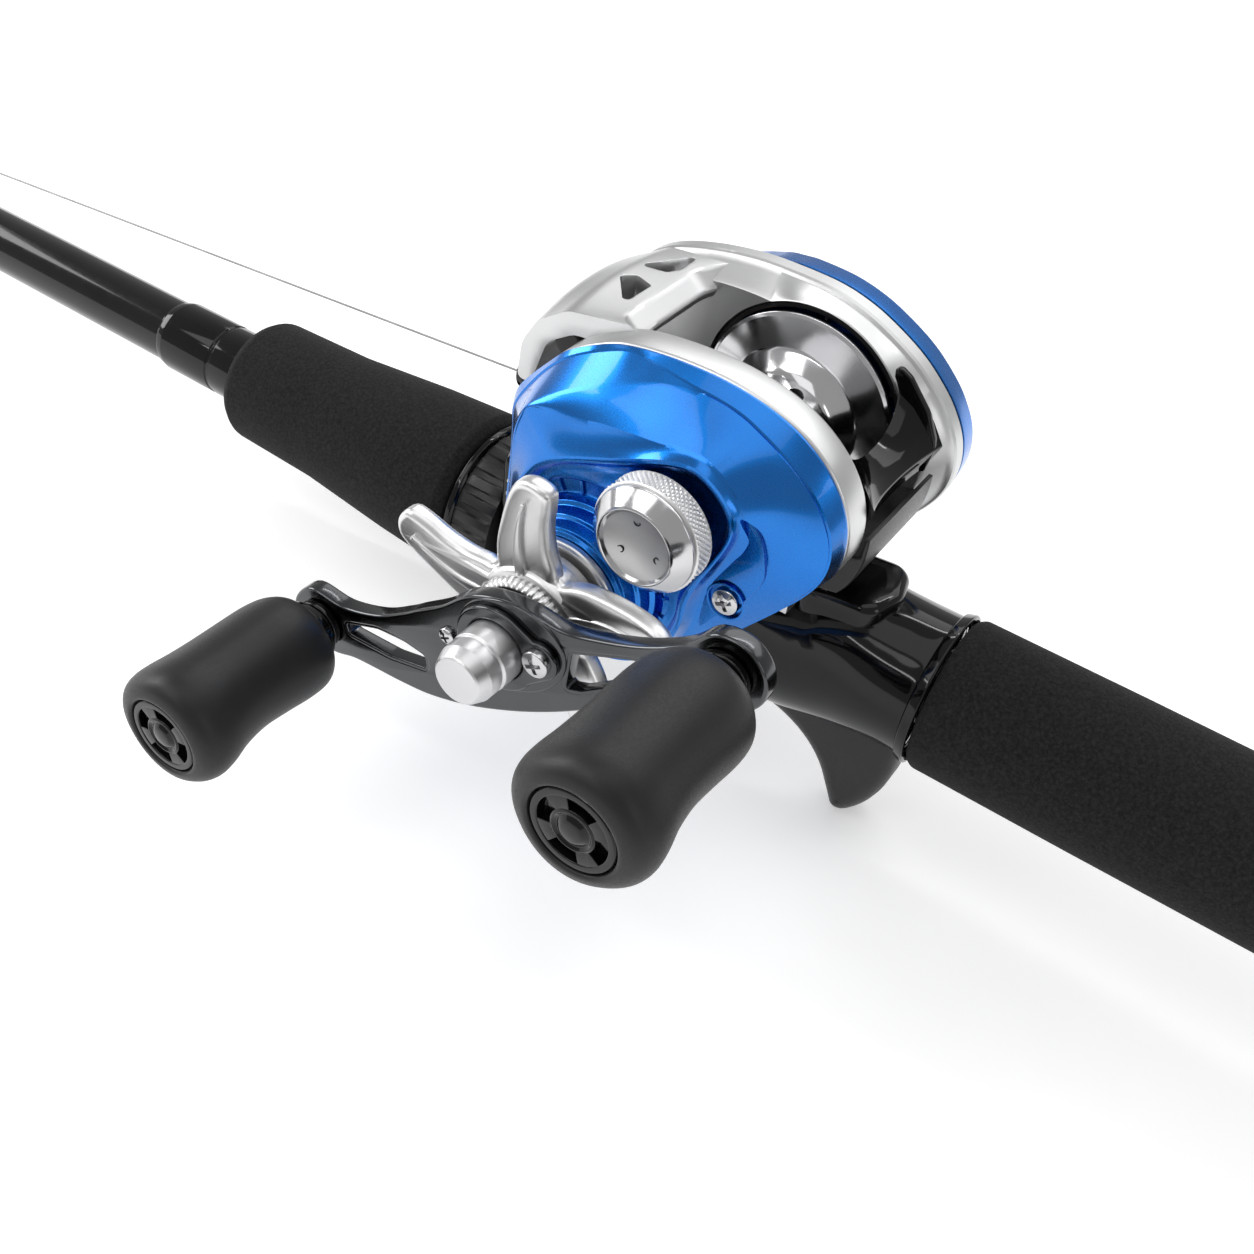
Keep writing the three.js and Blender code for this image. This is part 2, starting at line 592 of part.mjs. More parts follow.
// ---------------------------------------------------------------- spool and its shaft
function spoolAssembly() {
  const { flangeR, hubR, half, bore } = SPOOL;
  const profile = [[-half, flangeR], [-half + 0.9, flangeR], [-half + 2.6, hubR + 2.6], [-half + 5, hubR],
    [half - 5, hubR], [half - 2.6, hubR + 2.6], [half - 0.9, flangeR], [half, flangeR],
    [half - 1.2, hubR + 2], [half - 4, hubR - 1.4], [half - 4, bore + 2.2], [half, bore + 2.2],
    [half, bore], [-half, bore], [-half, bore + 2.2], [-half + 4, bore + 2.2], [-half + 4, hubR - 1.4],
    [-half + 1.2, hubR + 2]];
  piece('spool', turnedY(profile, 24), polished, ON_SPOOL);
  piece('spool_shaft', rodY(-33.4, 23.5, 1.4, 12), steel, ON_SPOOL);
  piece('brake_rotor', turnedY([[11, bore], [11, 9.4], [12.6, 9.4], [12.6, 4], [14.5, 4], [14.5, bore]], 20),
    nylon, ON_SPOOL);
  piece('spool_bearing_handle_side', tubeY(-31.6, -29, 3.6, 1.7, 20), steel, ON_SPOOL);
  piece('spool_bearing_palm_side', tubeY(20, 22.5, 3.6, 1.7, 20), steel, ON_SPOOL);
}

function tensionKnob() {
  const profile = [[-31.3, 6.7], [-31.3, 8.8], [-31.8, 9.2], [-35.4, 9.2], [-35.8, 8.5], [-38.4, 6.2],
    [-38.4, 5.7], [-37.3, 0], [-35.4, 0], [-35.4, 6.7]];
  piece('tension_knob', turnedY(profile, 24), polished, ON_SPOOL);
}

// ---------------------------------------------------------------- level wind
function levelWind() {
  const inner = WALL.inner;
  piece('worm_shaft', turnedY([[-21.4, 0], [-21.4, 1.6], [-18.6, 1.6], [-18.6, 2.2], [inner - GAP, 2.2],
    [inner - GAP, 0]], 16), steel, [WORM.x, 0, WORM.z]);
  const y0 = LINE_GUIDE_Y - 2.6;
  const y1 = LINE_GUIDE_Y + 2.6;
  const side = outline([[-33.6, 11.6], [-27, 11.6], [-26.7, 17.6], [-34.5, 18], [-36, 21.4], [-40, 21.4],
    [-41.8, 24.4], [-44.6, 24.4], [-44.6, 21.6], [-42.4, 21.6], [-40.2, 16.6], [-35, 16.6]]);
  const block = slabY(side, y0, y1);
  const ring = tubeX(EYE.x - 1, EYE.x + 1, EYE.r + 1.9, EYE.r + 0.5, 20).translate(0, LINE_GUIDE_Y, EYE.z);
  const seat = rodX(EYE.x - 2, EYE.x + 3, EYE.r + 0.7, 20).translate(0, LINE_GUIDE_Y, EYE.z);
  const cuts = [seat, hole(WORM.x, WORM.z, WORM.r + GAP, -14, 14, 16),
    hole(GUIDE_BAR.x, GUIDE_BAR.z, GUIDE_BAR.r + GAP, -14, 14, 12)];
  piece('line_guide', combine([block, ring], cuts), satinBlack);
  const insert = tubeX(EYE.x - 0.9, EYE.x + 0.9, EYE.r + 0.4, EYE.r, 16);
  piece('line_guide_insert', insert, ceramic, [0, LINE_GUIDE_Y, EYE.z]);
}

// ---------------------------------------------------------------- drag and crank
function driveShaft() {
  const profile = [[-58.5, 0], [-58.5, 2.4], [-47.8, 2.4], [-47.8, 2.9], [-38, 2.9], [-38, DRIVE.r],
    [-18.6, DRIVE.r], [-18.6, 2.0], [-14.3, 2.0], [-14.3, 0]];
  piece('drive_shaft', turnedY(profile, 20), steel, ON_DRIVE);
  piece('drag_washer', tubeY(-27.2, -25.9, 13, DRIVE.r + GAP, 24), carbon, ON_DRIVE);
  piece('pressure_plate', tubeY(-28.7, -27.5, 12.4, DRIVE.r + GAP, 24), steel, ON_DRIVE);
  piece('anti_reverse_bearing', tubeY(-35.2, -29.1, 7.2, DRIVE.r + GAP, 24), steel, ON_DRIVE);
  piece('bearing_cap', tubeY(-37.3, -35.8, 10.6, DRIVE.r + GAP, 22), silver, ON_DRIVE);
}

function starDrag() {
  const arms = 5;
  const points = [];
  for (let i = 0; i < arms; i += 1) {
    const a = THREE.MathUtils.degToRad(90) + (i / arms) * Math.PI * 2;
    const corners = [[8.4, -0.50], [14, -0.26], [20, -0.155], [24.6, -0.125], [26.2, -0.05], [26.2, 0.05],
      [24.6, 0.125], [20, 0.155], [14, 0.26], [8.4, 0.50]];
    for (const [r, off] of corners) points.push([r * Math.cos(a + off), r * Math.sin(a + off)]);
  }
  const blade = slabY(outline(points), -45.4, -42, 4);
  const hub = turnedY([[-47.6, 0], [-47.6, 7.8], [-46.2, 8.8], [-43, 9.6], [-38.2, 9.6], [-38.2, 0]], 22);
  const bore = rodY(-49, -37, 3.3, 20);
  piece('star_drag', combine([blade, hub], [bore]), silver, ON_DRIVE);
}

function crankOutline() {
  const reach = CRANK.reach;
  const shape = new THREE.Shape();
  shape.absarc(-reach, 0, 6.6, Math.PI * 0.55, Math.PI * 1.5, false);
  shape.bezierCurveTo(-26, -6.6, -22, -9.8, -6, -9.8);
  shape.bezierCurveTo(6, -10.2, 14, -5.6, reach, -6.2);
  shape.absarc(reach, 0, 6.6, -Math.PI * 0.45, Math.PI * 0.5, false);
  shape.bezierCurveTo(26, 6.6, 22, 9.8, 6, 9.8);
  shape.bezierCurveTo(-6, 10.2, -14, 5.6, -reach, 6.2);
  return shape;
}

function crankWindow(sign) {
  const shape = new THREE.Shape();
  shape.moveTo(14 * sign, -3.4 * sign);
  shape.lineTo(29 * sign, -2.4 * sign);
  shape.quadraticCurveTo(31.5 * sign, 0, 29 * sign, 2.2 * sign);
  shape.lineTo(15 * sign, 3.6 * sign);
  shape.quadraticCurveTo(13 * sign, 0, 14 * sign, -3.4 * sign);
  return shape;
}

function crank() {
  const { y0, y1, reach, tilt } = CRANK;
  const turn = [0, -tilt, 0];
  const plate = slabY(crankOutline(), y0, y1, 6);
  const cuts = [1, -1].map((s) => slabY(crankWindow(s), y0 - 1, y1 + 1, 5));
  cuts.push(rodY(y0 - 1, y1 + 1, 2.4 + GAP, 16));
  for (const s of [-1, 1]) cuts.push(rodY(y0 - 1, y1 + 1, 2.2 + GAP, 12).translate(s * reach, 0, 0));
  cuts.push(hole(8.1, -1.2, 1.1, y0 - 1, y1 + 1, 10));
  piece('crank_arm', combine([plate], cuts), gunmetal, ON_DRIVE, turn);

  piece('crank_nut', turnedY([[-62.4, 0], [-62.4, 4.0], [-62, 4.35], [-57.6, 4.35], [-57.4, 5.1], [-52.3, 5.1],
    [-52.3, 2.7], [-58.8, 2.7], [-58.8, 0]], 24), silver, ON_DRIVE);
  const plateShape = new THREE.Shape();
  plateShape.absarc(0, 0, 8, Math.PI * 0.3, Math.PI * 1.75, false);
  plateShape.absarc(8.1, -1.2, 3.2, -Math.PI * 0.4, Math.PI * 0.5, false);
  plateShape.holes.push(circle(0, 0, 5.4));
  plateShape.holes.push(circle(8.1, -1.2, 1.2));
  piece('nut_retainer', slabY(plateShape, -53.4, -52.3, 8), gunmetal, ON_DRIVE, turn);
  const screw = turnedY([[-54.8, 0], [-54.8, 2.0], [-54.4, 2.4], [-53.7, 2.4], [-53.7, 0.9], [-49.6, 0.9],
    [-49.6, 0]], 14);
  piece('retainer_screw', screw, steel, onCrank(8.1, -1.2), turn);
}

// A point given in the crank arm's own directions, as a place in the station's frame.
function onCrank(along, across) {
  const { tilt } = CRANK;
  const x = along * Math.cos(tilt) - across * Math.sin(tilt);
  const z = along * Math.sin(tilt) + across * Math.cos(tilt);
  return [DRIVE.x + x, 0, DRIVE.z + z];
}

function knob(label, side) {
  const place = onCrank(side * CRANK.reach, 0);
  const { y0, y1 } = KNOB;
  const post = turnedY([[-82, 0], [-82, 3.1], [-80.6, 3.1], [-80.6, 2.2], [-55.2, 2.2], [-55.2, 4.2],
    [-52.3, 4.2], [-52.3, 2.2], [-49, 2.2], [-49, 0]], 16);
  piece(`knob_post_${label}`, post, steel, place);
  const bore = 2.2 + GAP;
  const grip = [[y1, bore], [y1, 5.4], [y1 - 1.2, 7.4], [y1 - 5, 8.5], [y1 - 16, 8.8], [y1 - 23, 9.9],
    [y1 - 27.5, 10.4], [y0 + 0.6, 9], [y0 + 0.6, 6.6], [-81, 6.6], [-81, 3.6], [-80.2, 3.6], [-80.2, bore]];
  piece(`knob_${label}`, turnedY(grip, 22), softTouch, place);
  piece(`knob_cap_${label}`, turnedY([[y0, 0], [y0, 5.6], [y0 + 0.6, 6.3], [-84, 6.3], [-84, 0]], 24),
    glossBlack, place);
}

// ---------------------------------------------------------------- assembly
rearHandle();
reelSeat();
hoodAndNut();
foreGrip();
blank();
for (let i = 0; i < 5; i += 1) lineGuideOnRod(i);
fishingLine();
reelFrame();
handleSidePlate();
palmSidePlate();
rearCover();
thumbBar();
gearTrain();
spoolAssembly();
tensionKnob();
levelWind();
driveShaft();
starDrag();
crank();
knob('front', -1);
knob('rear', 1);

export default rig;
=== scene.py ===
"""Fishing rod and reel: the looks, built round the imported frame."""

import json
import math

import bmesh
import bpy
import numpy as np
from mathutils import Matrix, Vector
from mathutils.geometry import tessellate_polygon

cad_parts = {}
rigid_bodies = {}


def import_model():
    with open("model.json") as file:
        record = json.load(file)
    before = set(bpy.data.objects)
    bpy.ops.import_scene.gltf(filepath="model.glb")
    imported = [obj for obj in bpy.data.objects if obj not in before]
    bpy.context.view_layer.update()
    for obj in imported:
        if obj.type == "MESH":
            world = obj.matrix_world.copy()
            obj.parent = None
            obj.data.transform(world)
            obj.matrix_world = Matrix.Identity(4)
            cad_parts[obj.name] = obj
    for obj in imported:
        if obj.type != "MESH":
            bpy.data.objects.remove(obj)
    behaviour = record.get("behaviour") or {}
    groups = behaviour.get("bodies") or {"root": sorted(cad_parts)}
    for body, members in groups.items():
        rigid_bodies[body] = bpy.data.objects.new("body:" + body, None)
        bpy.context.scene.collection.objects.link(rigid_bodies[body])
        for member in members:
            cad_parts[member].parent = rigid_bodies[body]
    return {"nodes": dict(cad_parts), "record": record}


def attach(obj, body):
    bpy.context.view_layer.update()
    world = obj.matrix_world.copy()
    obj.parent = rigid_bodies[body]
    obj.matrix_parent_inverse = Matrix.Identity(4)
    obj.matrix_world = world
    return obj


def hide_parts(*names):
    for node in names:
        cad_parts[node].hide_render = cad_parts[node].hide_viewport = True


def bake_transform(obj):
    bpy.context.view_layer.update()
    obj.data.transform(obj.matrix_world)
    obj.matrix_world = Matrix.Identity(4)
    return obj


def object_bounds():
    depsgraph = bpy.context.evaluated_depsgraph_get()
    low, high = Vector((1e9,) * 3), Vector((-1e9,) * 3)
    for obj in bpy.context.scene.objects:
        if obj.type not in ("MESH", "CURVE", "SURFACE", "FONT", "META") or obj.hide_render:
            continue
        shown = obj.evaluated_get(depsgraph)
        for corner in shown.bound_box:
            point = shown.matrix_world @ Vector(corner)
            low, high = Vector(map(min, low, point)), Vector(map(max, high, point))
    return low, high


for leftover in list(bpy.data.objects):
    bpy.data.objects.remove(leftover)

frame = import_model()
cad_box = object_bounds()

# ------------------------------------------------------------------ places, in the reel's millimetres
BUTT_X = 222.0          # x is 0 at the spool, and the butt face is here
BLANK_Z = -9.2
SPOOL = (0.0, 31.5)     # x, z
DRIVE = (-12.6, 14.1)
WORM = (-30.2, 14.5)
EYE = (-44.0, 26.4)
LINE_Y = -4.0
GUIDE_BAR = (-38, 19)
HANDLE_SCREW = (11.6, 21.5)
PALM_SCREW = (-30, 20)
CRANK_TILT = 0.44
CRANK_REACH = 40.35
SECTION_END = -288.0
SECTION_STEP = 16.5
SECTION_LENGTH = 285
TIP_R = 1.1             # the thinnest section at its tip
SECTION_R = (6.3, 5.35, 4.45, 3.55, 2.65)
RING_HEIGHT = (12.8, 11.0, 9.6, 8.2, 6.8)
RING_R = (4.2, 3.4, 2.8, 2.3, 1.8)
THUMB_PRESS = 3.0
SPOOL_CLEARANCE = 18.45  # radius about the spool that the thumb bar keeps out of
KNOB_LEAN = 0.6         # how far each grip's oval is turned about its post
STAR_START = 92         # degrees


def world(points):
    """Reel millimetres to the frame's metres."""
    p = np.atleast_2d(np.asarray(points, float)).copy()
    p[:, 0] -= BUTT_X
    return p / 1000.0


# ------------------------------------------------------------------ materials
def new_material(name, color, rough, metal=0.0):
    mat = bpy.data.materials.new(name)
    mat.use_nodes = True
    bsdf = mat.node_tree.nodes["Principled BSDF"]
    bsdf.inputs["Base Color"].default_value = (*color, 1)
    bsdf.inputs["Roughness"].default_value = rough
    bsdf.inputs["Metallic"].default_value = metal
    return mat, mat.node_tree, bsdf


def place(tree, stretch=(1, 1, 1)):
    coord = tree.nodes.new("ShaderNodeTexCoord")
    mapping = tree.nodes.new("ShaderNodeMapping")
    mapping.inputs["Scale"].default_value = stretch
    tree.links.new(coord.outputs["Object"], mapping.inputs["Vector"])
    return mapping.outputs["Vector"]


def noise(tree, vector, scale, detail=3.0, rough=0.55):
    node = tree.nodes.new("ShaderNodeTexNoise")
    node.inputs["Scale"].default_value = scale
    node.inputs["Detail"].default_value = detail
    node.inputs["Roughness"].default_value = rough
    tree.links.new(vector, node.inputs["Vector"])
    return node.outputs["Fac"]


def spread(tree, value, low, high, from_low=0.3, from_high=0.7):
    node = tree.nodes.new("ShaderNodeMapRange")
    node.inputs["From Min"].default_value = from_low
    node.inputs["From Max"].default_value = from_high
    node.inputs["To Min"].default_value = low
    node.inputs["To Max"].default_value = high
    tree.links.new(value, node.inputs["Value"])
    return node.outputs["Result"]


def tint(tree, value, dark, light, target):
    ramp = tree.nodes.new("ShaderNodeValToRGB")
    ramp.color_ramp.elements[0].position = 0.3
    ramp.color_ramp.elements[1].position = 0.7
    ramp.color_ramp.elements[0].color = (*dark, 1)
    ramp.color_ramp.elements[1].color = (*light, 1)
    tree.links.new(value, ramp.inputs["Fac"])
    tree.links.new(ramp.outputs["Color"], target)


def bump(tree, value, bsdf, distance, strength=1.0):
    node = tree.nodes.new("ShaderNodeBump")
    node.inputs["Distance"].default_value = distance
    node.inputs["Strength"].default_value = strength
    tree.links.new(value, node.inputs["Height"])
    tree.links.new(node.outputs["Normal"], bsdf.inputs["Normal"])


def metal(name, dark, light, rough, grain, depth, stretch=(1, 1, 1), coat=0.0):
    """A metal: its colour and roughness drift a little, and a fine grain catches the light."""
    mat, tree, bsdf = new_material(name, light, rough, 1.0)
    where = place(tree, stretch)
    drift = noise(tree, where, 60, 2)
    fine = noise(tree, where, grain, 4)
    tint(tree, drift, dark, light, bsdf.inputs["Base Color"])
    tree.links.new(spread(tree, fine, rough * 0.88, rough * 1.14), bsdf.inputs["Roughness"])
    bump(tree, fine, bsdf, depth, 0.5)
    bsdf.inputs["Coat Weight"].default_value = coat
    bsdf.inputs["Coat Roughness"].default_value = 0.06
    return mat


def plastic(name, dark, light, rough, grain, depth, coat=0.0, sheen=0.0, specular=0.5):
    mat, tree, bsdf = new_material(name, light, rough)
    where = place(tree)
    drift = noise(tree, where, 90, 2)
    fine = noise(tree, where, grain, 5)
    tint(tree, drift, dark, light, bsdf.inputs["Base Color"])
    tree.links.new(spread(tree, fine, rough * 0.8, min(1.0, rough * 1.25)), bsdf.inputs["Roughness"])
    bump(tree, fine, bsdf, depth)
    bsdf.inputs["Coat Weight"].default_value = coat
    bsdf.inputs["Coat Roughness"].default_value = 0.03
    bsdf.inputs["Sheen Weight"].default_value = sheen
    bsdf.inputs["Specular IOR Level"].default_value = specular
    return mat


def foam_material():
    """Closed-cell foam: sanded skin with worm-like cell marks and a dusting of lighter grains."""
    mat, tree, bsdf = new_material("eva_foam", (0.02, 0.02, 0.021), 0.95)
    where = place(tree)
    cells = noise(tree, where, 1500, 6, 0.65)
    worms = tree.nodes.new("ShaderNodeTexVoronoi")
    worms.feature = "DISTANCE_TO_EDGE"
    worms.inputs["Scale"].default_value = 1100
    warp = tree.nodes.new("ShaderNodeVectorMath")
    warp.operation = "ADD"
    bend = tree.nodes.new("ShaderNodeVectorMath")
    bend.operation = "SCALE"
    bend.inputs["Scale"].default_value = 0.0012
    wander = tree.nodes.new("ShaderNodeTexNoise")
    wander.inputs["Scale"].default_value = 900
    tree.links.new(where, wander.inputs["Vector"])
    tree.links.new(wander.outputs["Color"], bend.inputs[0])
    tree.links.new(where, warp.inputs[0])
    tree.links.new(bend.outputs["Vector"], warp.inputs[1])
    tree.links.new(warp.outputs["Vector"], worms.inputs["Vector"])
    speck = tree.nodes.new("ShaderNodeMath")
    speck.operation = "MULTIPLY"
    tree.links.new(cells, speck.inputs[0])
    tree.links.new(spread(tree, worms.outputs["Distance"], 0.75, 1.1, 0.0, 0.12), speck.inputs[1])
    tint(tree, speck.outputs["Value"], (0.006, 0.006, 0.0063), (0.019, 0.019, 0.0196),
        bsdf.inputs["Base Color"])
    bump(tree, speck.outputs["Value"], bsdf, 0.00012, 0.8)
    bsdf.inputs["Specular IOR Level"].default_value = 0.12
    bsdf.inputs["Sheen Weight"].default_value = 0.03
    bsdf.inputs["Sheen Roughness"].default_value = 0.6
    return mat


def turned_metal(name, dark, light, rough):
    """Metal faced on a lathe: rings about the turning axis Y show as a soft drift in tone."""
    mat, tree, bsdf = new_material(name, light, rough, 1.0)
    fine = noise(tree, place(tree), 5200, 2)
    tint(tree, noise(tree, place(tree, (1, 14, 1)), 30, 1), dark, light, bsdf.inputs["Base Color"])
    tree.links.new(spread(tree, fine, rough * 0.9, rough * 1.1), bsdf.inputs["Roughness"])
    bump(tree, fine, bsdf, 0.0000004, 0.4)
    return mat


def thread_wrap(name):
    mat, tree, bsdf = new_material(name, (0.01, 0.01, 0.012), 0.2)
    wave = tree.nodes.new("ShaderNodeTexWave")
    wave.bands_direction = "X"
    wave.inputs["Scale"].default_value = 900
    wave.inputs["Distortion"].default_value = 0.4
    tree.links.new(place(tree), wave.inputs["Vector"])
    tint(tree, wave.outputs["Fac"], (0.004, 0.004, 0.005), (0.02, 0.021, 0.026), bsdf.inputs["Base Color"])
    bump(tree, wave.outputs["Fac"], bsdf, 0.00008, 0.5)
    bsdf.inputs["Coat Weight"].default_value = 1.0
    bsdf.inputs["Coat Roughness"].default_value = 0.04
    return mat


M = {"foam": foam_material(), "gloss_black": plastic("gloss_black", (0.0015, 0.0015, 0.0018),
    (0.003, 0.003, 0.0035), 0.08, 700, 0.000001, 0.2, specular=0.2),
    "satin_black": plastic("satin_black", (0.006, 0.006, 0.0065), (0.011, 0.011, 0.0115), 0.36, 2600,
    0.00001, specular=0.35), "trigger": plastic("trigger_satin", (0.008, 0.008, 0.0085),
    (0.012, 0.012, 0.0125), 0.4, 2600, 0.00001, specular=0.4), "graphite": plastic("clear_coated_graphite",
    (0.0025, 0.0025, 0.003), (0.005, 0.005, 0.006), 0.13, 500, 0.000002, 0.25, specular=0.2),
    "blue": metal("blue_anodised", (0.003, 0.135, 0.50), (0.008, 0.170, 0.58), 0.26, 5200, 0.0000010,
    coat=0.5), "silver": metal("satin_silver", (0.56, 0.563, 0.567), (0.62, 0.623, 0.627), 0.34, 4200,
    0.000003), "bright": metal("bright_silver", (0.66, 0.66, 0.665), (0.74, 0.74, 0.745), 0.34, 3200,
    0.000002), "polished": metal("polished_metal", (0.50, 0.50, 0.51), (0.58, 0.58, 0.59), 0.14, 2400,
    0.0000006), "turned": turned_metal("turned_silver", (0.60, 0.60, 0.61), (0.66, 0.66, 0.67), 0.36),
    "gunmetal": metal("gunmetal", (0.045, 0.047, 0.050), (0.066, 0.069, 0.073), 0.2, 4200, 0.000001,
    coat=0.4), "steel": metal("steel", (0.45, 0.45, 0.46), (0.62, 0.62, 0.63), 0.2, 1800, 0.000002),
    "brass": metal("machined_brass", (0.5, 0.32, 0.1), (0.66, 0.45, 0.17), 0.26, 1800, 0.000004),
    "carbon": plastic("carbon_washer", (0.008, 0.008, 0.009), (0.02, 0.02, 0.022), 0.6, 2000, 0.00003),
    "soft_touch": plastic("soft_touch", (0.0065, 0.0065, 0.007), (0.0085, 0.0085, 0.009), 0.44, 4200,
    0.000006, sheen=0.02, specular=0.32), "ceramic": plastic("ceramic", (0.008, 0.008, 0.009),
    (0.02, 0.02, 0.022), 0.1, 500, 0.000002, 0.4), "nylon": plastic("nylon", (0.62, 0.60, 0.55),
    (0.74, 0.72, 0.67), 0.45, 900, 0.00002), "line_grey": plastic("line", (0.24, 0.24, 0.25),
    (0.34, 0.34, 0.35), 0.3, 1500, 0.00001), "wrap": thread_wrap("thread_wrap"),
    "turned_dark": turned_metal("turned_dark", (0.50, 0.50, 0.505), (0.58, 0.58, 0.585), 0.34),}


# ------------------------------------------------------------------ mesh making
def add_piece(name, verts, faces, mat, body, replaces=(), slot=None, sharp=30, merge=0.0):
    me = bpy.data.meshes.new(name)
    me.from_pydata([tuple(p) for p in world(verts)], [], faces)
    bm = bmesh.new()
    bm.from_mesh(me)
    if merge:
        bmesh.ops.remove_doubles(bm, verts=bm.verts, dist=merge)
    bmesh.ops.recalc_face_normals(bm, faces=bm.faces)
    bm.to_mesh(me)
    bm.free()
    return settle(bpy.data.objects.new(name, me), mat, body, replaces, sharp)


def settle(obj, mat, body, replaces=(), sharp=30):
    obj.data.materials.clear()
    obj.data.materials.append(M[mat])
    obj.data.shade_smooth()
    obj.data.set_sharp_from_angle(angle=math.radians(sharp))
    if obj.name not in bpy.context.scene.collection.objects:
        bpy.context.scene.collection.objects.link(obj)
    if body:
        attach(obj, body)
    if replaces:
        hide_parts(*replaces)
    return obj


def rounded(points, closed=False):
    """A polyline whose corners (a, b, radius) are rounded off."""
    out = []
    n = len(points)
    for i, p in enumerate(points):
        radius = p[2] if len(p) > 2 else 0.0
        here = Vector(p[:2])
        if radius <= 0 or (not closed and i in (0, n - 1)):
            out.append(tuple(here))
            continue
        u = Vector(points[i - 1][:2]) - here
        v = Vector(points[(i + 1) % n][:2]) - here
        reach = 0.49 * min(u.length, v.length)
        u.normalize()
        v.normalize()
        angle = u.angle(v)
        if angle > math.pi - 0.02:
            out.append(tuple(here))
            continue
        t = min(radius / math.tan(angle / 2), reach)
        r = t * math.tan(angle / 2)
        centre = here + (u + v).normalized() * (r / math.sin(angle / 2))
        a, b = here + u * t - centre, here + v * t - centre
        steps = max(2, int((math.pi - angle) / 0.22))
        for k in range(steps + 1):
            w = (a * (1 - k / steps) + b * (k / steps)).normalized() * r
            out.append(tuple(centre + w))
    return out


def smooth_path(points, per=8, closed=False):
    """Catmull-Rom through the points."""
    p = np.array(points, float)
    n = len(p)
    out = []
    for i in range(n if closed else n - 1):
        if closed:
            a, b, c, d = p[i - 1], p[i], p[(i + 1) % n], p[(i + 2) % n]
        else:
            a, b, c, d = p[max(i - 1, 0)], p[i], p[i + 1], p[min(i + 2, n - 1)]
        for t in np.arange(per) / per:
            out.append(0.5 * (2 * b + (c - a) * t + (2 * a - 5 * b + 4 * c - d) * t * t
                              + (3 * b - a - 3 * c + d) * t ** 3))
    if not closed:
        out.append(p[-1])
    return np.array(out)


def along(axis, at, a, r, angle):
    """A point at distance a along an axis and r from it."""
    u, v = r * np.cos(angle), r * np.sin(angle)
    if axis == "Y":
        return np.stack([at[0] + u, np.broadcast_to(a, u.shape), at[1] + v], -1)
    return np.stack([np.broadcast_to(a, u.shape), at[0] + u, at[1] + v], -1)


def lathe(name, axis, at, profile, mat, body, replaces=(), closed=False, seg=72, swell=None, **kw):
    """A turned piece: profile is (along, radius[, corner radius]), and swell(a, r, angle) may shift the
    radius."""
    pts = rounded(profile, closed)
    angle = np.linspace(0, 2 * math.pi, seg, endpoint=False)
    verts, rings = [], []
    for a, r in pts:
        if r < 1e-6:
            rings.append([len(verts)])
            verts.append(along(axis, at, a, np.zeros(1), np.zeros(1))[0])
            continue
        radius = np.full(seg, r) if swell is None else swell(a, r, angle)
        rings.append(list(range(len(verts), len(verts) + seg)))
        verts.extend(along(axis, at, a, radius, angle))
    faces = []
    pairs = list(zip(rings, rings[1:])) + ([(rings[-1], rings[0])] if closed else [])
    for p, q in pairs:
        if len(p) == 1 and len(q) == 1:
            continue
        for i in range(seg):
            j = (i + 1) % seg
            if len(p) == 1:
                faces.append((p[0], q[j], q[i]))
            elif len(q) == 1:
                faces.append((p[i], p[j], q[0]))
            else:
                faces.append((p[i], p[j], q[j], q[i]))
    return add_piece(name, verts, faces, mat, body, replaces, **kw)


def loop_area(p):
    q = np.roll(p, -1, 0)
    return 0.5 * float((p[:, 0] * q[:, 1] - q[:, 0] * p[:, 1]).sum())


def draw_in(p, d):
    """A loop moved to its left by d."""
    t = np.roll(p, -1, 0) - p
    t /= np.maximum(np.linalg.norm(t, axis=1, keepdims=True), 1e-9)
    back = np.roll(t, 1, 0)
    n0 = np.stack([-back[:, 1], back[:, 0]], -1)
    n1 = np.stack([-t[:, 1], t[:, 0]], -1)
    mid = n0 + n1
    mid /= np.maximum(np.linalg.norm(mid, axis=1, keepdims=True), 1e-9)
    share = np.maximum((mid * n1).sum(1, keepdims=True), 0.45)
    return p + mid * d / share


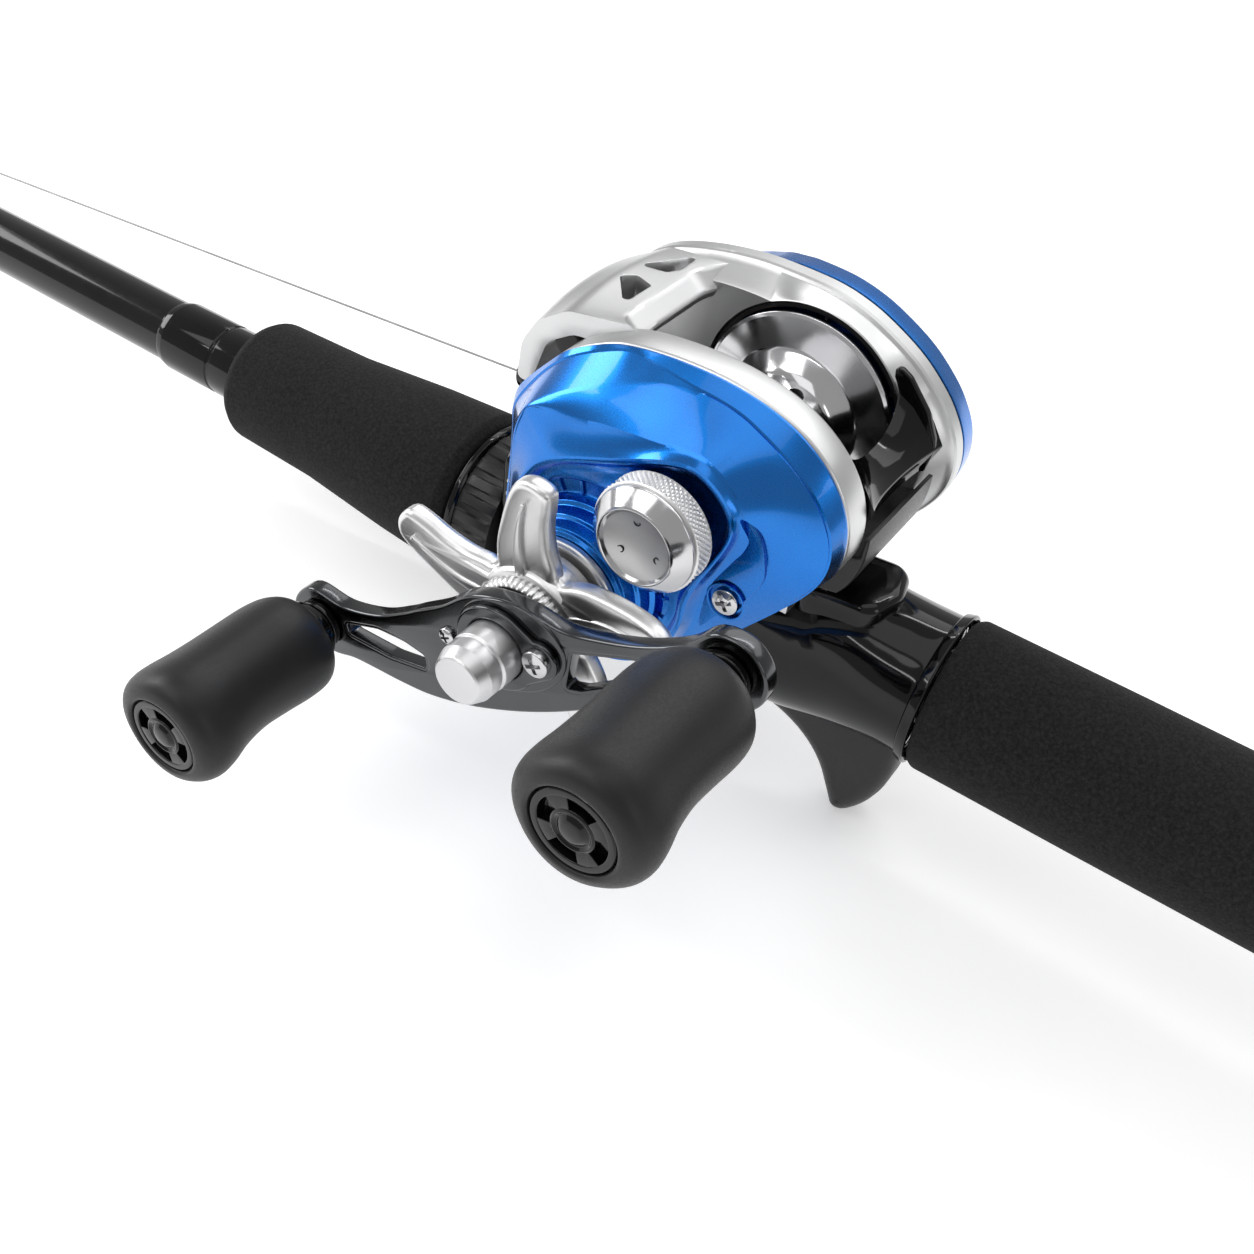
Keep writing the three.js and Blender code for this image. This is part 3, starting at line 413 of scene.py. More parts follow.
def plate(name, outline, holes, w0, w1, bevel, mat, body, replaces=(), axis="Y", at=(0, 0), turn=0.0,
          bend=None, **kw):
    """A flat outline with holes, given depth from w0 to w1 and rounded edges."""
    loops = []
    for k, loop in enumerate([outline, *holes]):
        p = np.array(loop, float)
        keep = np.linalg.norm(p - np.roll(p, 1, 0), axis=1) > 1e-4
        p = p[keep]
        if (loop_area(p) > 0) != (k == 0):
            p = p[::-1]
        loops.append(p)
    steps = 4
    levels = []
    for k in range(steps + 1):
        phi = math.pi / 2 * k / steps
        levels.append((bevel * (1 - math.sin(phi)), w0 + bevel * (1 - math.cos(phi))))
    levels += [(inset, w1 - (w - w0)) for inset, w in reversed(levels)]
    verts, faces, caps = [], [], []
    for loop in loops:
        n = len(loop)
        first = len(verts)
        for inset, w in levels:
            q = draw_in(loop, inset)
            verts.extend([(a, b, w) for a, b in q])
        for s in range(len(levels) - 1):
            for i in range(n):
                j = (i + 1) % n
                a = first + s * n
                faces.append((a + i, a + j, a + n + j, a + n + i))
        caps.append((first, first + (len(levels) - 1) * n, n))
    for end in (0, 1):
        index = [c[end] + i for c in caps for i in range(c[2])]
        polygons = [[Vector((verts[c[end] + i][0], verts[c[end] + i][1],
            0)) for i in range(c[2])] for c in caps]
        for tri in tessellate_polygon(polygons):
            faces.append(tuple(index[i] for i in tri))
    p = np.array(verts)
    c, s = math.cos(turn), math.sin(turn)
    u = p[:, 0] * c - p[:, 1] * s + at[0]
    v = p[:, 0] * s + p[:, 1] * c + at[1]
    w = p[:, 2]
    if bend is not None:
        w = w + bend(u, v)
    order = {"Y": (u, w, v), "X": (w, u, v), "Z": (u, v, w)}[axis]
    return add_piece(name, np.stack(order, -1), faces, mat, body, replaces, **kw)


def loft(name, rings, mat, body, replaces=(), cap=(True, True), **kw):
    """A skin through closed rings of the same number of points."""
    n = len(rings[0])
    verts = np.vstack(rings)
    faces = []
    for s in range(len(rings) - 1):
        for i in range(n):
            j = (i + 1) % n
            faces.append((s * n + i, s * n + j, (s + 1) * n + j, (s + 1) * n + i))
    if cap[0]:
        faces.append(tuple(range(n)))
    if cap[1]:
        faces.append(tuple((len(rings) - 1) * n + i for i in range(n)))
    return add_piece(name, verts, faces, mat, body, replaces, **kw)


def cut(obj, tools, sharp=30, soften=0.0):
    """Takes the tools' solids out of obj, and rounds the new edges if asked."""
    for tool in tools:
        m = obj.modifiers.new("cut", "BOOLEAN")
        m.operation = "DIFFERENCE"
        m.solver = "EXACT"
        m.object = tool
    if soften:
        m = obj.modifiers.new("soften", "BEVEL")
        m.width = soften / 1000
        m.segments = 2
        m.limit_method = "ANGLE"
        m.angle_limit = math.radians(38)
    bpy.context.view_layer.update()
    done = bpy.data.meshes.new_from_object(obj.evaluated_get(bpy.context.evaluated_depsgraph_get()))
    obj.modifiers.clear()
    mat = obj.data.materials[0]
    obj.data = done
    done.materials.clear()
    done.materials.append(mat)
    done.shade_smooth()
    done.set_sharp_from_angle(angle=math.radians(sharp))
    for tool in tools:
        bpy.data.objects.remove(tool)
    return obj


def tool_rod(axis, at, a0, a1, r0, r1=None, seg=48):
    """A plain round or tapered cutter."""
    r1 = r0 if r1 is None else r1
    return lathe("tool", axis, at, [(a0, 0), (a0, r0), (a1, r1), (a1, 0)], "steel", None, seg=seg)


def respaced(loop, count, y):
    """A loop in x and z, at y, with its points evenly spaced."""
    loop = np.array(loop)
    step = np.linalg.norm(np.roll(loop, -1, 0) - loop, axis=1)
    reach = np.concatenate([[0], np.cumsum(step)])
    closed = np.vstack([loop, loop[:1]])
    want = np.linspace(0, reach[-1], count, endpoint=False)
    return np.stack([np.interp(want, reach, closed[:, 0]), np.full(count, y),
        np.interp(want, reach, closed[:, 1])], -1)


def ring_loop(x, z, r, n=40):
    t = np.linspace(0, 2 * math.pi, n, endpoint=False)
    return np.stack([x + r * np.cos(t), z + r * np.sin(t)], -1)


def quad(p0, p1, p2, n=12):
    t = np.linspace(0, 1, n, endpoint=False)[:, None]
    p0, p1, p2 = map(np.array, (p0, p1, p2))
    return (1 - t) ** 2 * p0 + 2 * t * (1 - t) * p1 + t * t * p2


def straight(p0, p1, n=6):
    t = np.linspace(0, 1, n, endpoint=False)[:, None]
    return np.array(p0) * (1 - t) + np.array(p1) * t


def handle_outline():
    return smooth_path([(-36.8, 22), (-37.0, 29), (-36.2, 33.2), (-33.6, 37), (-30.6, 40.6), (-27.6, 43.8),
        (-23, 46.8), (-17.7, 49.2), (-10, 50.6), (-1.5, 51.0), (6, 50.2), (12.6, 48.2), (17.9, 44.9),
        (21.6, 40.9), (23.8, 36.5), (24.5, 31.8), (23.9, 27.6), (21.9, 24.2), (18.8, 20.2), (14.4, 14.4),
        (9.7, 8.4), (6.2, 3.9), (2.6, 0.0), (-1.6, -3.2), (-7, -5.7), (-14, -6.6), (-22, -6.7), (-31, -6.6),
        (-34.8, -4.8), (-36.4, -0.6), (-36.7, 8)], 6, True)


def palm_outline():
    return smooth_path([(-40.0, 12), (-40.3, 24), (-40.3, 31), (-39.2, 37.5), (-36.3, 43.6), (-31.5, 47.2),
        (-24, 49.8), (-15.5, 51.4), (-8.3, 51.8), (-0.5, 51.6), (5.6, 50.3), (10.8, 48.2), (15.8, 45.5),
        (19.8, 42.4), (23.3, 38.8), (26.2, 34), (27.2, 28.8), (26.2, 23.6), (22.6, 17.8), (16.8, 12.2),
        (11.5, 7.8), (6.2, 3.2), (0, -3), (-6.4, -6.5), (-14, -7.3), (-24, -7.4), (-33, -7.2),
        (-38.4, -4.8), (-39.9, 2)], 6, True)


def palm_plate_outline():
    """The palm plate follows its wall, but stays below the raised shoulder at the front."""
    loop = palm_outline()
    low = np.array([np.interp(x, [-41, -38.6, -36, -31.5, -24, -17.6, -12.4, -8],
        [30, 36, 39.6, 43.0, 46.4, 49.4, 51.2, 51.8]) for x in loop[:, 0]])
    high = (loop[:, 0] < -8) & (loop[:, 1] > 30)
    loop[high, 1] = np.minimum(loop[high, 1], low[high])
    return loop


def polar(points, centre, n, smooth=True):
    """(x, z[, y]) points round a centre, sampled at n even angles: radius and y at each."""
    p = np.array([list(q) + [0] * (3 - len(q)) for q in points], float)
    if smooth:
        p = smooth_path(p, 12, True)
    angle = np.unwrap(np.arctan2(p[:, 1] - centre[1], p[:, 0] - centre[0]))
    if angle[-1] < angle[0]:
        p, angle = p[::-1], angle[::-1]
    angle = np.maximum.accumulate(angle)
    radius = np.hypot(p[:, 0] - centre[0], p[:, 1] - centre[1])
    turn = 2 * math.pi
    wide = np.concatenate([angle - 2 * turn, angle - turn, angle, angle + turn, angle + 2 * turn])
    at = np.linspace(0, turn, n, endpoint=False)
    return np.interp(at, wide, np.tile(radius, 5)), np.interp(at, wide, np.tile(p[:, 2], 5))


def ring_between(a, b, share, bulge=0.0):
    """A ring (radius, y) between two, pushed out along Y by a bulge."""
    radius = a[0] * (1 - share) + b[0] * share
    y = a[1] * (1 - share) + b[1] * share + bulge * math.sin(math.pi * share)
    return radius, y


def polar_ring(ring, centre):
    radius, y = ring
    angle = np.linspace(0, 2 * math.pi, len(radius), endpoint=False)
    return np.stack([centre[0] + radius * np.cos(angle), y, centre[1] + radius * np.sin(angle)], -1)


def level(ring, inset, y):
    """A ring drawn in by an inset and laid flat at y."""
    return ring[0] - inset, ring[1] * 0 + y


ROOT = "rod_handle"


# ------------------------------------------------------------------ rod
def rear_handle():
    lathe("butt_cap_turned", "X", (0, 0), [(206.3, 0), (206.3, 13.5, 0.3), (208.2, 13.5, 0.3),
        (208.6, 13.1, 0.2), (209.2, 13.1, 0.2), (209.6, 13.55, 0.3), (219.2, 13.5, 2.6), (222, 10.6, 2.0),
        (222, 6.4, 0.3), (221.3, 5.8, 0.3), (221.3, 0)], "satin_black", ROOT, ("butt_cap",), seg=96)
    lathe("rear_grip_foam", "X", (0, 0), [(41.3, 7.3), (41.3, 12.9, 0.9), (42.6, 13.72, 1.4),
        (70, 13.85, 5), (180, 13.8, 5), (204.6, 13.75, 1.2), (206, 13.1, 0.8), (206, 7.3)], "foam", ROOT,
        ("rear_grip",), seg=120)
    lathe("rear_grip_trim_ring", "X", (0, 0), [(39.2, 12.6), (39.2, 13.5, 0.3), (40.9, 13.9, 0.35),
        (41.1, 13.2)], "gloss_black", ROOT, ("rear_grip_ring",), seg=120, slot="polished")


def seat_section(x, half, top, bottom, power_top, power_low, n=72):
    t = np.linspace(0, 2 * math.pi, n, endpoint=False)
    mid = (top + bottom) / 2
    tall = (top - bottom) / 2
    c, s = np.cos(t), np.sin(t)
    power = np.where(s > 0, power_top, power_low)
    y = half * np.sign(c) * np.abs(c) ** (2 / power)
    z = mid + tall * np.sign(s) * np.abs(s) ** (2 / power)
    return np.stack([np.full(n, x), y, z], -1)


def reel_seat():
    keys = np.array([
        # x, half width, top, bottom, squareness above, below
        (-39.8, 9.5, 6.9, -18.7, 2.9, 2.1), (-39.0, 9.9, 7.6, -19.1, 3.2, 2.1),
        (-20, 9.9, 7.7, -19.2, 3.4, 2.1), (0, 10.1, 7.7, -19.0, 3.4, 2.1), (10, 10.6, 7.9, -18.3, 3.3, 2.1),
        (16, 11.0, 9.4, -17.3, 3.0, 2.1), (20, 11.3, 11.2, -16.3, 2.8, 2.1),
        (25, 11.7, 12.4, -15.1, 2.5, 2.05), (30, 12.3, 12.6, -13.9, 2.2, 2.0),
        (34, 12.6, 12.7, -13.1, 2.05, 2.0), (38.6, 12.75, 12.75, -12.75, 2.0, 2.0),
        (39.1, 12.4, 12.4, -12.4, 2, 2)])
    path = smooth_path(keys, 7)
    loft("reel_seat_body", [seat_section(*k) for k in path], "gloss_black", ROOT, ("reel_seat",), sharp=40)
    lathe("seat_thread", "X", (0, BLANK_Z), [(-60, 7.3), (-60, 9.3, 0.4), (-39.5, 9.3), (-39.5, 7.3)],
        "gloss_black", ROOT, closed=True, seg=64, swell=lambda a, r,
        t: np.full(t.shape, r) if r < 9 else r + 0.22 * np.sin(t + a * 2 * math.pi / 1.5))
    pad = rounded([(13.5, -7.6, 3.4), (28.2, -7.6, 3.8), (30.2, 0, 5), (28.2, 7.6, 3.8), (13.5, 7.6, 3.4)],
        True)
    plate("seat_rear_hood", pad, [], 8.5, 15.2, 1.5, "gloss_black", ROOT, axis="Z", sharp=60, bend=lambda u,
        v: -0.018 * (u - 24) ** 2 - 0.012 * v ** 2)
    side = np.vstack([quad((-2, -12.5), (4, -16.5), (10, -17.6)), quad((10, -17.6), (21, -19), (25.6, -27)),
        quad((25.6, -27), (27.6, -31), (28.8, -33.6)), quad((28.8, -33.6), (30.3, -35.4), (32.6, -34.0)),
        quad((32.6, -34.0), (38.2, -28), (38.4, -19)), quad((38.4, -19), (38.4, -12), (37, -9)),
        straight((37, -9), (-2, -9))])
    plate("trigger_blade", side, [], -5.2, 5.2, 3.2, "trigger", ROOT, sharp=60)


def hood_and_nut():
    loop = rounded([(-10.4, -15.6, 6), (10.4, -15.6, 6), (10.9, -9.2, 5), (10.8, 12.2, 2.6),
        (-10.8, 12.2, 2.6), (-10.9, -9.2, 5)], True)
    hood = plate("sliding_hood_shell", loop, [], -44.1, -34.3, 0.9, "gloss_black", "hood",
        ("sliding_hood",), axis="X", sharp=40)
    bore = tool_rod("X", (0, BLANK_Z), -46, -33, 10.2)
    slot = plate("tool", [(-8.8, -9), (8.8, -9), (8.8, 10.2), (-8.8, 10.2)], [], -41.9, -30, 0.01, "steel",
        None, axis="X")
    cut(hood, [bore, slot])
    ribs = 26

    def knurl(a, r, t):
        if r < 12:
            return np.full(t.shape, r)
        return r - 0.55 * np.clip(np.cos(t * ribs) * 2.2, 0, 1) * (1 if -52.4 < a < -44.9 else 0)
    lathe("lock_nut_ribbed", "X", (0, BLANK_Z), [(-52.9, 9.8), (-52.9, 14.5, 0.4), (-52.3, 14.8),
        (-48.6, 14.8), (-45.0, 14.8), (-44.4, 14.3, 0.3), (-44.4, 9.8)], "satin_black", "lock",
        ("lock_nut",), seg=312, swell=knurl, sharp=50)
    lathe("lock_nut_collar", "X", (0, BLANK_Z), [(-54.4, 9.8), (-54.4, 15.0, 0.5), (-53.8, 15.4, 0.5),
        (-52.9, 15.4, 0.4), (-52.5, 14.9), (-52.5, 9.8)], "gloss_black", "lock", seg=120,
        slot="satin_black")


def fore_grip():
    lathe("fore_grip_foam", "X", (0, BLANK_Z), [(-114.7, 7.9), (-114.7, 11.6, 1.2), (-112.6, 12.95, 2.0),
        (-93, 13.5, 30), (-72, 15.45, 30), (-56.6, 16.4, 1.6), (-54.7, 15.3, 1.2), (-54.7, 9.8)], "foam",
        "lock", ("fore_grip",), seg=120)


def section_end(i):
    return SECTION_END - i * SECTION_STEP


def blank():
    lathe("butt_section_blank", "X", (0, BLANK_Z), [(-288, 5.7), (-288, 6.3, 0.2), (-115, 6.9), (10, 6.9),
        (10, 5.7)], "graphite", ROOT, ("butt_section",), closed=True, seg=96)
    lathe("butt_section_end_band", "X", (0, BLANK_Z), [(-288.0, 6.35), (-287.8, 6.75, 0.2),
        (-281, 6.8, 0.3), (-280.6, 6.35)], "gunmetal", ROOT, seg=72)
    lathe("blank_collar_sleeve", "X", (0, BLANK_Z), [(-139.4, 7.0), (-138.8, 7.35, 0.5),
        (-137.4, 7.62, 0.6), (-124.6, 7.62, 0.2), (-124.3, 7.42, 0.1), (-123.7, 7.42, 0.1),
        (-123.4, 7.62, 0.2), (-110.4, 7.62, 0.3), (-110, 7.2)], "gloss_black", ROOT, ("blank_collar",),
        seg=96)
    for i in range(1, 5):
        tip, r = section_end(i), SECTION_R[i]
        rear = tip + SECTION_LENGTH
        body = f"section_{i + 1}"
        if i < 4:
            profile = [(tip, r - 0.6), (tip, r, 0.15), (rear, r), (rear, r - 0.6)]
            lathe(f"rod_section_{i + 1}_blank", "X", (0, BLANK_Z), profile, "graphite", body,
                (f"rod_section_{i + 1}",), closed=True, seg=64)
        else:
            lathe("rod_section_5_blank", "X", (0, BLANK_Z), [(tip, 0), (tip, TIP_R), (rear, r), (rear, 0)],
                "graphite", body, ("rod_section_5",), seg=48)


def ring_x(i):
    return (section_end(4) - 1 if i == 4 else section_end(i) + 1) + 2.2


def guide(i):
    """A line guide: a wrapped sleeve, a two-legged frame and a polished ceramic ring."""
    body = ROOT if i == 0 else f"section_{i + 1}"
    node = "tip_top" if i == 4 else f"rod_guide_{i + 1}"
    front = section_end(4) - 1 if i == 4 else section_end(i) + 1
    r = 1.35 if i == 4 else SECTION_R[i]
    length = 9 if i == 4 else 12
    x, z, inner = ring_x(i), BLANK_Z + RING_HEIGHT[i], RING_R[i]
    start = [(front, 0)] if i == 4 else [(front, r + 0.15)]
    lathe(f"{node}_sleeve", "X", (0, BLANK_Z), start + [(front, r + 0.8, 0.3), (front + 0.9, r + 1.0, 0.4),
        (front + length - 0.9, r + 1.0, 0.5), (front + length, r + 0.15)], "wrap", body, (node,), seg=64)
    lathe(f"{node}_band", "X", (0, BLANK_Z), [(front + length * 0.7, r + 0.9),
        (front + length * 0.7, r + 1.12, 0.08), (front + length * 0.7 + 0.8, r + 1.12, 0.08),
        (front + length * 0.7 + 0.8, r + 0.9)], "bright", body, seg=64)
    lathe(f"{node}_frame_ring", "X", (0, z), [(x - 0.75, inner + 0.75), (x - 0.75, inner + 1.3, 0.3),
        (x + 0.75, inner + 1.3, 0.3), (x + 0.75, inner + 0.75)], "gunmetal", body, closed=True, seg=64)
    lathe(f"{node}_insert", "X", (0, z), [(x - 0.9, inner + 0.1, 0.3), (x - 0.9, inner + 0.85, 0.2),
        (x + 0.9, inner + 0.85, 0.2), (x + 0.9, inner + 0.1, 0.3), (x, inner - 0.02, 0.6)], "ceramic", body,
        closed=True, seg=64)
    for side in (-1, 1):
        spread_y = inner * 0.75
        path = smooth_path([(x, side * (spread_y + 0.4), z - inner * 0.75 - 0.3),
            (x + 0.5, side * spread_y * 0.8, BLANK_Z + r + 2.2), (x + 1.8, side * 1.2, BLANK_Z + r + 1.1),
            (x + length * 0.62, side * 0.5, BLANK_Z + r + 0.7)], 6)
        tube(f"{node}_leg_{'left' if side < 0 else 'right'}", path, 0.55, "gunmetal", body)


def tube(name, path, r, mat, body, replaces=(), sides=12, **kw):
    path = np.array(path, float)
    t = np.gradient(path, axis=0)
    t /= np.linalg.norm(t, axis=1, keepdims=True)
    up = np.array([0.0, 0.0, 1.0])
    a = np.cross(t, up)
    a /= np.maximum(np.linalg.norm(a, axis=1, keepdims=True), 1e-9)
    b = np.cross(a, t)
    angle = np.linspace(0, 2 * math.pi, sides, endpoint=False)
    radius = np.broadcast_to(r, (len(path),))
    rings = [p + k * (np.outer(np.cos(angle), u) + np.outer(np.sin(angle), v)) for p, u, v,
        k in zip(path, a, b, radius)]
    return loft(name, rings, mat, body, replaces, **kw)


def through(i):
    return np.array([ring_x(i), 0.0, BLANK_Z + RING_HEIGHT[i] - RING_R[i] + 0.55])


def fishing_line():
    """Each span of line runs between points on two bodies; it is a plain tube, not attached to either body.
    """
    arbor = np.array([-3.0, LINE_Y, SPOOL[1] + 9.4])
    eye = np.array([EYE[0], LINE_Y, EYE[1] - 1.4])
    spans = [("line_spool_to_eye", arbor, eye, ROOT, "line_guide_carriage", "line_reel_to_guide"),
        ("line_eye_to_guide", eye, through(0), "line_guide_carriage", ROOT, "line_reel_to_guide")]
    owners = [ROOT] + [f"section_{k}" for k in range(2, 6)]
    for i in range(4):
        spans.append((f"line_guide_{i + 1}_to_{i + 2}", through(i), through(i + 1), owners[i],
            owners[i + 1], "line_guides_to_tip"))
    for name, a, b, body_a, body_b, node in spans:
        piece = tube(name, [a + (b - a) * s for s in np.linspace(0, 1, 40)], 0.2, "line_grey", None)
        start, end = world([a])[0], world([b])[0]
        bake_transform(piece)
        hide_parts(node)
    tip = through(4)
    stop = tube("line_stop_at_tip", [tip + (1.2, 0, 0), tip, tip - (1.6, 0, 0.2), tip - (3, 0, 0.4)], 0.2,
        "line_grey", "section_5")
    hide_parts("line_guides_to_tip")


# ------------------------------------------------------------------ reel frame
def reel_frame():
    plate("frame_handle_wall", handle_outline(), [ring_loop(*SPOOL, 17.6, 72)], -18.3, -12, 0.7, "silver",
        ROOT, ("reel_frame",))
    lathe("frame_handle_wall_web", "Y", SPOOL, [(-17.6, 6), (-17.6, 18.2), (-14.2, 18.2), (-14.2, 6)],
        "silver", ROOT, closed=True)
    palm_wall()
    frame_deck()
    for name, x0, x1, z0, z1 in (("frame_floor", -24.5, 15.5, 10.1, 12.4),
            ("frame_front_bar", -40, -36.4, 13, 15.4)):
        plate(name, rounded([(x0, -12.5, 0.2), (x1, -12.5, 0.2), (x1, 12.5, 0.2), (x0, 12.5, 0.2)], True),
            [], z0, z1, 0.4, "silver", ROOT, axis="Z")
    foot = rounded([(-41, -3.3, 2), (-33, -6.3, 2), (16.5, -6.3, 2), (24.5, -4.3, 2), (24.5, 4.3, 2),
        (16.5, 6.3, 2), (-33, 6.3, 2), (-41, 3.3, 2)], True)
    plate("reel_foot_plate", foot, [], 8.0, 9.8, 0.4, "steel", ROOT, ("reel_foot",), axis="Z")
    lathe("spool_seal_ring", "Y", SPOOL, [(11.75, 17.6), (11.75, 18.3), (14.8, 18.3), (14.8, 17.6)],
        "satin_black", ROOT, closed=True, seg=120)


def palm_wall():
    """The palm-side wall: a flat band outside, then a wide chamfer down to the spool's opening."""
    n = 480
    outer = polar([(x, z, 0) for x, z in palm_outline()], SPOOL, n, False)[0]
    step = np.clip((outer - 18.9) / 3.2, 0, 1)
    mouth = np.maximum(outer - 3.6 * step - 0.5, 18.9)
    mouth = np.minimum(mouth, np.maximum(outer - 0.25, 18.6))
    rows = [(np.full(n, 18.35), 17.0), (np.full(n, 18.35), 12.0), (np.full(n, 18.75), 11.3),
        (mouth - 0.2, 11.3), (mouth, 11.5), (outer - 0.75, 15.8), (outer - 0.25, 16.1), (outer, 16.6),
        (outer, 19.0), (outer - 0.5, 19.5), (outer - 1.5, 19.6), (outer - 3.0, 19.6)]
    rings = []
    for (ra, ya), (rb, yb) in zip(rows, rows[1:]):
        steps = 6 if abs(yb - ya) > 2 else 2
        for k in range(steps):
            share = k / steps
            rings.append(polar_ring((ra * (1 - share) + rb * share,
                np.full(n, ya * (1 - share) + yb * share)), SPOOL))
    rings.append(polar_ring((rows[-1][0], np.full(n, rows[-1][1])), SPOOL))
    loft("frame_palm_wall", rings, "silver", ROOT, cap=(False, False), sharp=22)


def frame_deck():
    """The crowned deck in front of the spool, with its sloping rear edge sweeping into the palm wall."""
    rings = []
    for y in np.linspace(-13.5, 17.6, 63):
        crown = max(0.0, 1 - ((y - 2.0) / 15.4) ** 2)
        sweep = 0.0 if y < 7.5 else 10.5 * (1 - math.sqrt(max(0.0, 1 - min(1.0, (y - 7.5) / 9.4) ** 2)))
        if y < -10.0:
            sweep = 3.0 * ((-10.0 - y) / 3.5) ** 2
        lift = 0.24 * sweep
        line = [(-40.4, 31.0, 1), (-40.0 - 0.4 * crown, 38.0 + 0.5 * crown, 6),
            (-37.2 - 0.6 * crown, 43.0 + 2.4 * crown, 4), (-31.6 - 0.3 * crown, 47.0 + 1.0 * crown, 5),
            (-22.8 + sweep, 48.6 + lift, 0.5), (-19.6 + sweep, 46.0 + lift, 0.6),
            (-20.4 + sweep, 44.2 + lift, 0.6), (-30, 43.4, 4), (-35.0, 40, 4), (-37.6, 31, 0.6)]
        rings.append(respaced(rounded(line, True), 140, y))
    deck = loft("frame_deck", rings, "silver", ROOT, sharp=26)
    cut(deck, [deck_hole([(-31.2, 5.6), (-26.0, 6.2), (-24.6, 8.6), (-24.8, 15.4)]),
        deck_hole([(-31.2, 0.2), (-29.0, 2.2), (-25.2, 0.6), (-25.4, -7.4)])], sharp=26, soften=0.5)
    lathe("frame_thumb_pin", "Y", (-31.2, 41.0), [(-13.2, 0), (-13.2, 2.6, 0.6), (-11.2, 2.8, 0.5),
        (-10.6, 1.6), (-10.6, 0)], "gloss_black", ROOT, seg=40, slot="satin_black")


def deck_hole(points):
    """A three- or four-sided cutter with rounded corners, dropped through the deck."""
    loop = rounded([(*p, 0.8) for p in points], True)
    return plate("tool", loop, [], 36, 56, 0.01, "steel", None, axis="Z")


# ------------------------------------------------------------------ side plates
PLATE_CENTRE = (-5.0, 21.0)
AROUND = 540


